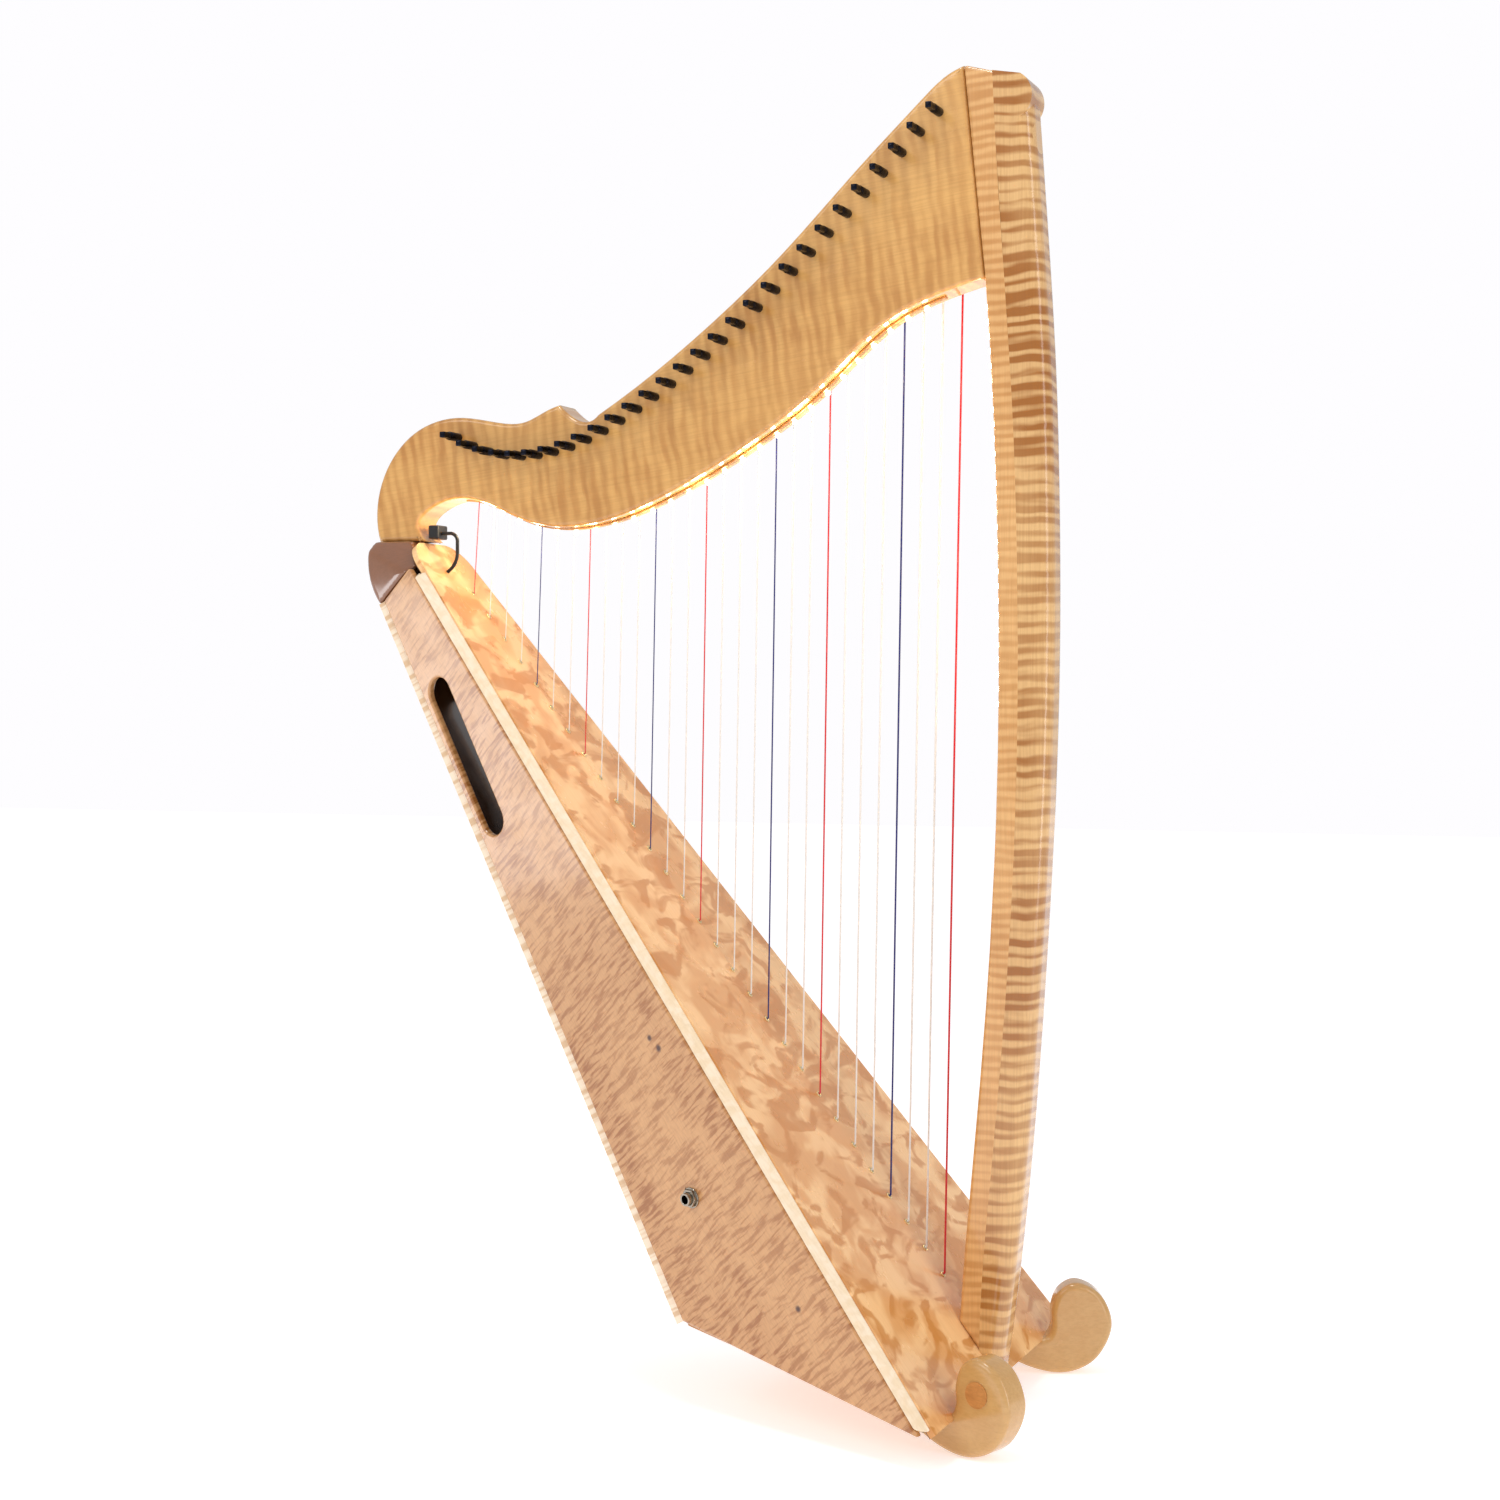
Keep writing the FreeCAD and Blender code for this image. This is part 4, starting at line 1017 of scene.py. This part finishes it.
class HARP_OT_tuning_pins(bpy.types.Operator):
    """Make each tuning pin, with its square end, its thread and its domed end"""

    bl_idname = "harp.tuning_pins"
    bl_label = "Tuning pins"

    def execute(self, context):
        metals = context.scene.harp_metal
        for node in PINS:
            low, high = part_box(node)
            centre = np.array([(low.x + high.x) / 2, 0.0, (low.z + high.z) / 2])
            points = pin_surface(centre, low.y, high.y, metals.pin_radius,
                                 metals.pin_square / 2)
            mesh = filled(node + "_steel", *several([points]))
            piece = link(mesh, node + "_steel", steel())
            mesh.set_sharp_from_angle(angle=math.radians(40.0))
            carry(piece, [node], node + "_body")
        return {"FINISHED"}


def pin_surface(centre, near, far, radius, half):
    """A pin: circles along its length that become squares of the key's size near one end.

    A square's edge stands half a width from the axis divided by the larger of the cosine and the
    sine of the angle round it; each row blends that with its circle by its squareness.
    """
    thread = np.arange(NEAR_FACE * 0.2, FAR_FACE - 0.001, THREAD_STEP)
    ridge = radius - THREAD_DEPTH * (np.arange(len(thread)) % 2)
    rows = [(near, 0.0, 1.0), (near, half * 0.62, 1.0), (near + 0.0005, half * 0.96, 1.0),
            (near + 0.0012, half, 1.0), (near + 0.0098, half, 1.0),
            (near + 0.0110, radius * 0.86, 0.0), (near + 0.0118, radius, 0.0)]
    rows += list(zip(thread, ridge, np.zeros(len(thread))))
    rows += [(far - 0.0014, radius, 0.0), (far - 0.0006, radius * 0.86, 0.0),
             (far - 0.0001, radius * 0.5, 0.0), (far, 0.0, 0.0)]
    along, size, square = np.array(rows).T
    angle = np.linspace(0, 2 * np.pi, 32, endpoint=False)
    flat = 1.0 / np.maximum(np.abs(np.cos(angle)), np.abs(np.sin(angle)))
    flat = np.minimum(flat, 1.34)
    reach = size[:, None] * (1.0 + square[:, None] * (flat[None, :] - 1.0))
    points = np.zeros((len(along), len(angle), 3))
    points[..., 0] = centre[0] + reach * np.cos(angle)
    points[..., 1] = along[:, None]
    points[..., 2] = centre[2] + reach * np.sin(angle)
    return points


class HARP_OT_bridge_pins(bpy.types.Operator):
    """Make the small grooved pins that stop the strings' upper ends"""

    bl_idname = "harp.bridge_pins"
    bl_label = "Bridge pins"

    def execute(self, context):
        profile = [(-0.0065, 0.0), (-0.0065, 0.002), (0.0018, 0.002), (0.0026, 0.0016),
                   (0.0044, 0.0016), (0.0052, 0.002), (0.0059, 0.0019), (0.0064, 0.0012),
                   (0.0065, 0.0)]
        blocks = [turned(middle, (0, 1, 0), profile, 20) for middle in lumps("bridge_pins")]
        mesh = filled("bridge_pins_steel", *several(blocks))
        piece = link(mesh, "bridge_pins_steel", steel())
        mesh.set_sharp_from_angle(angle=math.radians(50.0))
        carry(piece, ["bridge_pins"])
        return {"FINISHED"}


class HARP_OT_eyelets(bpy.types.Operator):
    """Make the small brass ring round each string hole"""

    bl_idname = "harp.eyelets"
    bl_label = "Eyelets"

    def execute(self, context):
        metals = context.scene.harp_metal
        profile = [(-0.00045, 0.0013), (0.0002, 0.0013), (0.00042, 0.0016), (0.00045, 0.0019),
                   (0.0003, 0.0023), (-0.0001, 0.0026), (-0.00045, 0.0026),
                   (-0.00045, 0.0013)]
        blocks = [turned(middle, BOARD_OUT, profile, 20) for middle in lumps("string_eyelets")]
        mesh = filled("eyelets_brass", *several(blocks))
        brass = metal("eyelet brass", metals.brass, 0.22, 0.4)
        carry(link(mesh, "eyelets_brass", brass), ["string_eyelets"])
        return {"FINISHED"}


def string_path(foot, bridge, pin, radius, winding, turns):
    """A string's middle line: out of its eyelet, up past the bridge pin, then round its pin.

    The turns are a helix: a circle of the pin's radius plus the string's, with a steady step of
    just over one string's thickness along the pin for each turn.
    """
    start = foot - BOARD_OUT * 0.0098
    bend = foot + BOARD_OUT * (0.0006 + radius)
    top = bridge - np.array([0.002 + radius, 0.0, 0.0])
    reach = winding + radius
    drift = radius * 2.05
    angle = np.linspace(0, turns * 2 * np.pi, int(turns * 18))
    helix = np.stack([pin[0] + reach * np.cos(angle),
                      top[1] + drift - drift * angle / (2 * np.pi),
                      pin[2] + reach * np.sin(angle)], axis=1)
    climb = np.linspace(0, 1, 24)[:, None]
    straight = bend + (top - bend) * climb
    upper = top + (helix[0] - top) * np.linspace(0, 1, 6)[1:-1, None]
    corner = bend - BOARD_OUT * 0.0004
    return np.concatenate([start[None], corner[None], straight, upper, helix])


class HARP_OT_strings(bpy.types.Operator):
    """String the harp: 29 strings from their eyelets to the turns on their pins"""

    bl_idname = "harp.strings"
    bl_label = "Strings"

    def execute(self, context):
        strings = context.scene.harp_strings
        metals = context.scene.harp_metal
        feet = lumps("string_eyelets")
        bridges = lumps("bridge_pins")
        count = len(PINS)
        blocks = {"C": [], "F": [], "other": []}
        for index, node in enumerate(PINS):
            low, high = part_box(node)
            pin = np.array([(low.x + high.x) / 2, 0.0, (low.z + high.z) / 2])
            radius = strings.thin + (strings.thick - strings.thin) * (index / (count - 1)) ** 1.5
            middle = bridges[index].copy()
            middle[1] = FAR_FACE + STRING_OFFSET
            path = string_path(feet[index], middle, pin, radius, metals.pin_radius + 0.0001,
                               strings.turns)
            note = NOTES[index % 7]
            blocks[note if note in "CF" else "other"].append(piped(path, radius, 10))
        for note, node, slot, shade in (
                ("C", "strings_c", "string_red", nylon("red nylon", strings.red)),
                ("F", "strings_f", "string_blue", nylon("blue nylon", strings.blue)),
                ("other", "strings_natural", "string_clear",
                 nylon("clear nylon", strings.clear))):
            mesh = filled(node + "_wound", *several(blocks[note]))
            carry(link(mesh, node + "_wound", shade), [node])
        dress("string_knots", bpy.data.materials["clear nylon"])
        return {"FINISHED"}


class HARP_OT_jack(bpy.types.Operator):
    """Finish the output jack with its washer and nut"""

    bl_idname = "harp.jack"
    bl_label = "Output jack"

    def execute(self, context):
        metals = context.scene.harp_metal
        nickel = metal("bright nickel", metals.nickel, 0.12, 0.3)
        soften("output_jack", "jack_barrel", nickel, 0.0004, smallest=0.006)
        soften("jack_nut", "jack_nut_bevelled", nickel, 0.0004, smallest=0.006)
        return {"FINISHED"}


class HARP_OT_lamps(bpy.types.Operator):
    """Light the lamps under the neck and down the pillar, with their ribbons, box and lead"""

    bl_idname = "harp.lamps"
    bl_label = "Lamps"

    def execute(self, context):
        lamps = context.scene.harp_lamps
        angle = np.linspace(0, np.pi, 9)
        profile = np.stack([-0.002 * np.cos(angle), 0.002 * np.sin(angle)], axis=1)
        middles = lumps("lamps")
        blocks = [turned(middle, (0, 0, 1), profile, 14) for middle in middles]
        mesh = filled("lamp_caps", *several(blocks))
        glow = glowing("lamp glow", lamps.glow, lamps.strength)
        carry(link(mesh, "lamp_caps", glow), ["lamps"])
        copper = metal("ribbon copper", linear(226, 170, 104), 0.3, 0.5)
        for node in ("lamp_ribbon_neck", "lamp_ribbon_pillar"):
            dress(node, copper)
        shell = plastic("black plastic", linear(24, 24, 26), 0.35, 0.5)
        soften("lamp_driver", "lamp_box", shell, 0.0012, smallest=0.008)
        dress("lamp_lead", plastic("black rubber", linear(20, 20, 20), 0.45, 0.6))
        for number, middle in enumerate(middles[::3]):
            lamp = bpy.data.lights.new(f"lamp spill {number}", "POINT")
            share = 2.4 if middle[0] < -0.28 else 1.0
            lamp.energy = lamps.spill * (0.45 if middle[0] > 0.0 else share)
            lamp.color = lamps.glow
            lamp.shadow_soft_size = 0.006
            holder = bpy.data.objects.new(f"lamp spill {number}", lamp)
            holder.location = Vector(middle) - Vector((0.004, 0.0, 0.008))
            context.scene.collection.objects.link(holder)
        return {"FINISHED"}


class HARP_OT_stage(bpy.types.Operator):
    """Set the floor, the soft lights, the pale room and the camera"""

    bl_idname = "harp.stage"
    bl_label = "Stage"

    def execute(self, context):
        stage = context.scene.harp_stage
        self.room(context, stage)
        self.ground(stage)
        soft_light("key light", (-1.3, -2.2, 2.2), (-0.1, 0.0, 0.45), (1.3, 1.3),
                   stage.key_power, (1.0, 0.985, 0.97))
        soft_light("side light", (2.1, -0.9, 0.9), (0.1, 0.0, 0.5), (0.5, 2.0),
                   stage.rim_power, (0.97, 0.96, 1.0))
        soft_light("top light", (-0.15, -0.55, 2.3), (-0.12, 0.0, 0.7), (0.35, 0.35),
                   stage.top_power, (1.0, 0.98, 0.96))
        soft_light("window light", (-2.1, -0.62, 0.18), (-0.33, 0.0, 0.5), (0.3, 0.5),
                   stage.window_power, (0.97, 0.98, 1.0))
        camera = bpy.data.cameras.new("camera")
        camera.lens = stage.lens
        camera.sensor_width = 36.0
        camera.shift_y = stage.camera_shift
        camera.clip_start, camera.clip_end = 0.05, 60.0
        holder = bpy.data.objects.new("camera", camera)
        holder.location = stage.camera_place
        holder.rotation_euler = (math.radians(90.0), 0.0, stage.camera_turn)
        context.scene.collection.objects.link(holder)
        context.scene.camera = holder
        context.scene.view_settings.view_transform = "Standard"
        return {"FINISHED"}

    def room(self, context, stage):
        """Light the room one way and let the camera see it another."""
        world = bpy.data.worlds.new("pale room")
        world.use_nodes = True
        tree = world.node_tree
        lit = tree.nodes["Background"]
        lit.inputs["Color"].default_value = four(stage.backdrop)
        lit.inputs["Strength"].default_value = stage.room_light
        seen = add(tree, "ShaderNodeBackground", {"Color": four(stage.backdrop),
                                                  "Strength": 1.0})
        straight = add(tree, "ShaderNodeLightPath").outputs["Is Camera Ray"]
        both = add(tree, "ShaderNodeMixShader", {0: straight, 1: lit.outputs[0],
                                                 2: seen.outputs[0]})
        tree.links.new(both.outputs[0], tree.nodes["World Output"].inputs["Surface"])
        context.scene.world = world

    def ground(self, stage):
        """Lay a pale floor just below the harp."""
        reach, low = 8.0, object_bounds()[0].z - 0.0005
        corner = np.array([-reach, reach])
        across, along = np.meshgrid(corner, corner)
        points = np.stack([across, along, np.full_like(across, low)], axis=-1)
        mesh = bpy.data.meshes.new("floor")
        mesh.from_pydata(points.reshape(-1, 3), [], grid_faces(2, 2))
        made, tree, shader = material("pale floor")
        tone = blended(tree, noise(tree, place(tree), 2.0), four(stage.floor),
                       four(np.array(stage.floor) * 0.98))
        feed(tree, shader, {"Base Color": tone, "Roughness": 0.7, "Specular IOR Level": 0.0,
                            "Emission Color": four(stage.floor),
                            "Emission Strength": stage.floor_lift})
        link(mesh, "floor", made, smooth=False)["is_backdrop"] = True


def soft_light(name, place, aim, size, power, tint):
    """A large rectangular light turned towards a point."""
    lamp = bpy.data.lights.new(name, "AREA")
    lamp.shape = "RECTANGLE"
    lamp.size, lamp.size_y = size
    lamp.energy = power
    lamp.color = tint
    holder = bpy.data.objects.new(name, lamp)
    holder.location = place
    holder.rotation_euler = (Vector(aim) - Vector(place)).to_track_quat("-Z", "Y").to_euler()
    bpy.context.scene.collection.objects.link(holder)


STEPS = [HARP_OT_sound_box, HARP_OT_neck, HARP_OT_pillar, HARP_OT_feet, HARP_OT_tuning_pins,
         HARP_OT_bridge_pins, HARP_OT_eyelets, HARP_OT_strings, HARP_OT_jack, HARP_OT_lamps,
         HARP_OT_stage]


class HARP_PT_panel(bpy.types.Panel):
    """Lists the harp's pieces and what can be changed about them"""

    bl_idname = "HARP_PT_panel"
    bl_label = "Floor harp"
    bl_space_type = "VIEW_3D"
    bl_region_type = "UI"
    bl_category = "Harp"

    def draw(self, context):
        for step in STEPS:
            self.layout.operator(step.bl_idname)
        for key, kind in SETTINGS.items():
            part = self.layout.box()
            part.label(text=kind.__doc__)
            for name in kind.__annotations__:
                part.prop(getattr(context.scene, key), name)


CLASSES = [*SETTINGS.values(), *STEPS, HARP_PT_panel]


def register():
    """Add every class, and each group of settings to the scene."""
    for kind in CLASSES:
        bpy.utils.register_class(kind)
    for key, kind in SETTINGS.items():
        setattr(bpy.types.Scene, key, bpy.props.PointerProperty(type=kind))


def unregister():
    """Take away what register added."""
    for key in SETTINGS:
        delattr(bpy.types.Scene, key)
    for kind in reversed(CLASSES):
        bpy.utils.unregister_class(kind)


def main():
    """Register, then run each step in order."""
    register()
    prepare_groups()
    for step in STEPS:
        group_name, step_name = step.bl_idname.split(".")
        getattr(getattr(bpy.ops, group_name), step_name)()


if __name__ == "__main__":
    main()
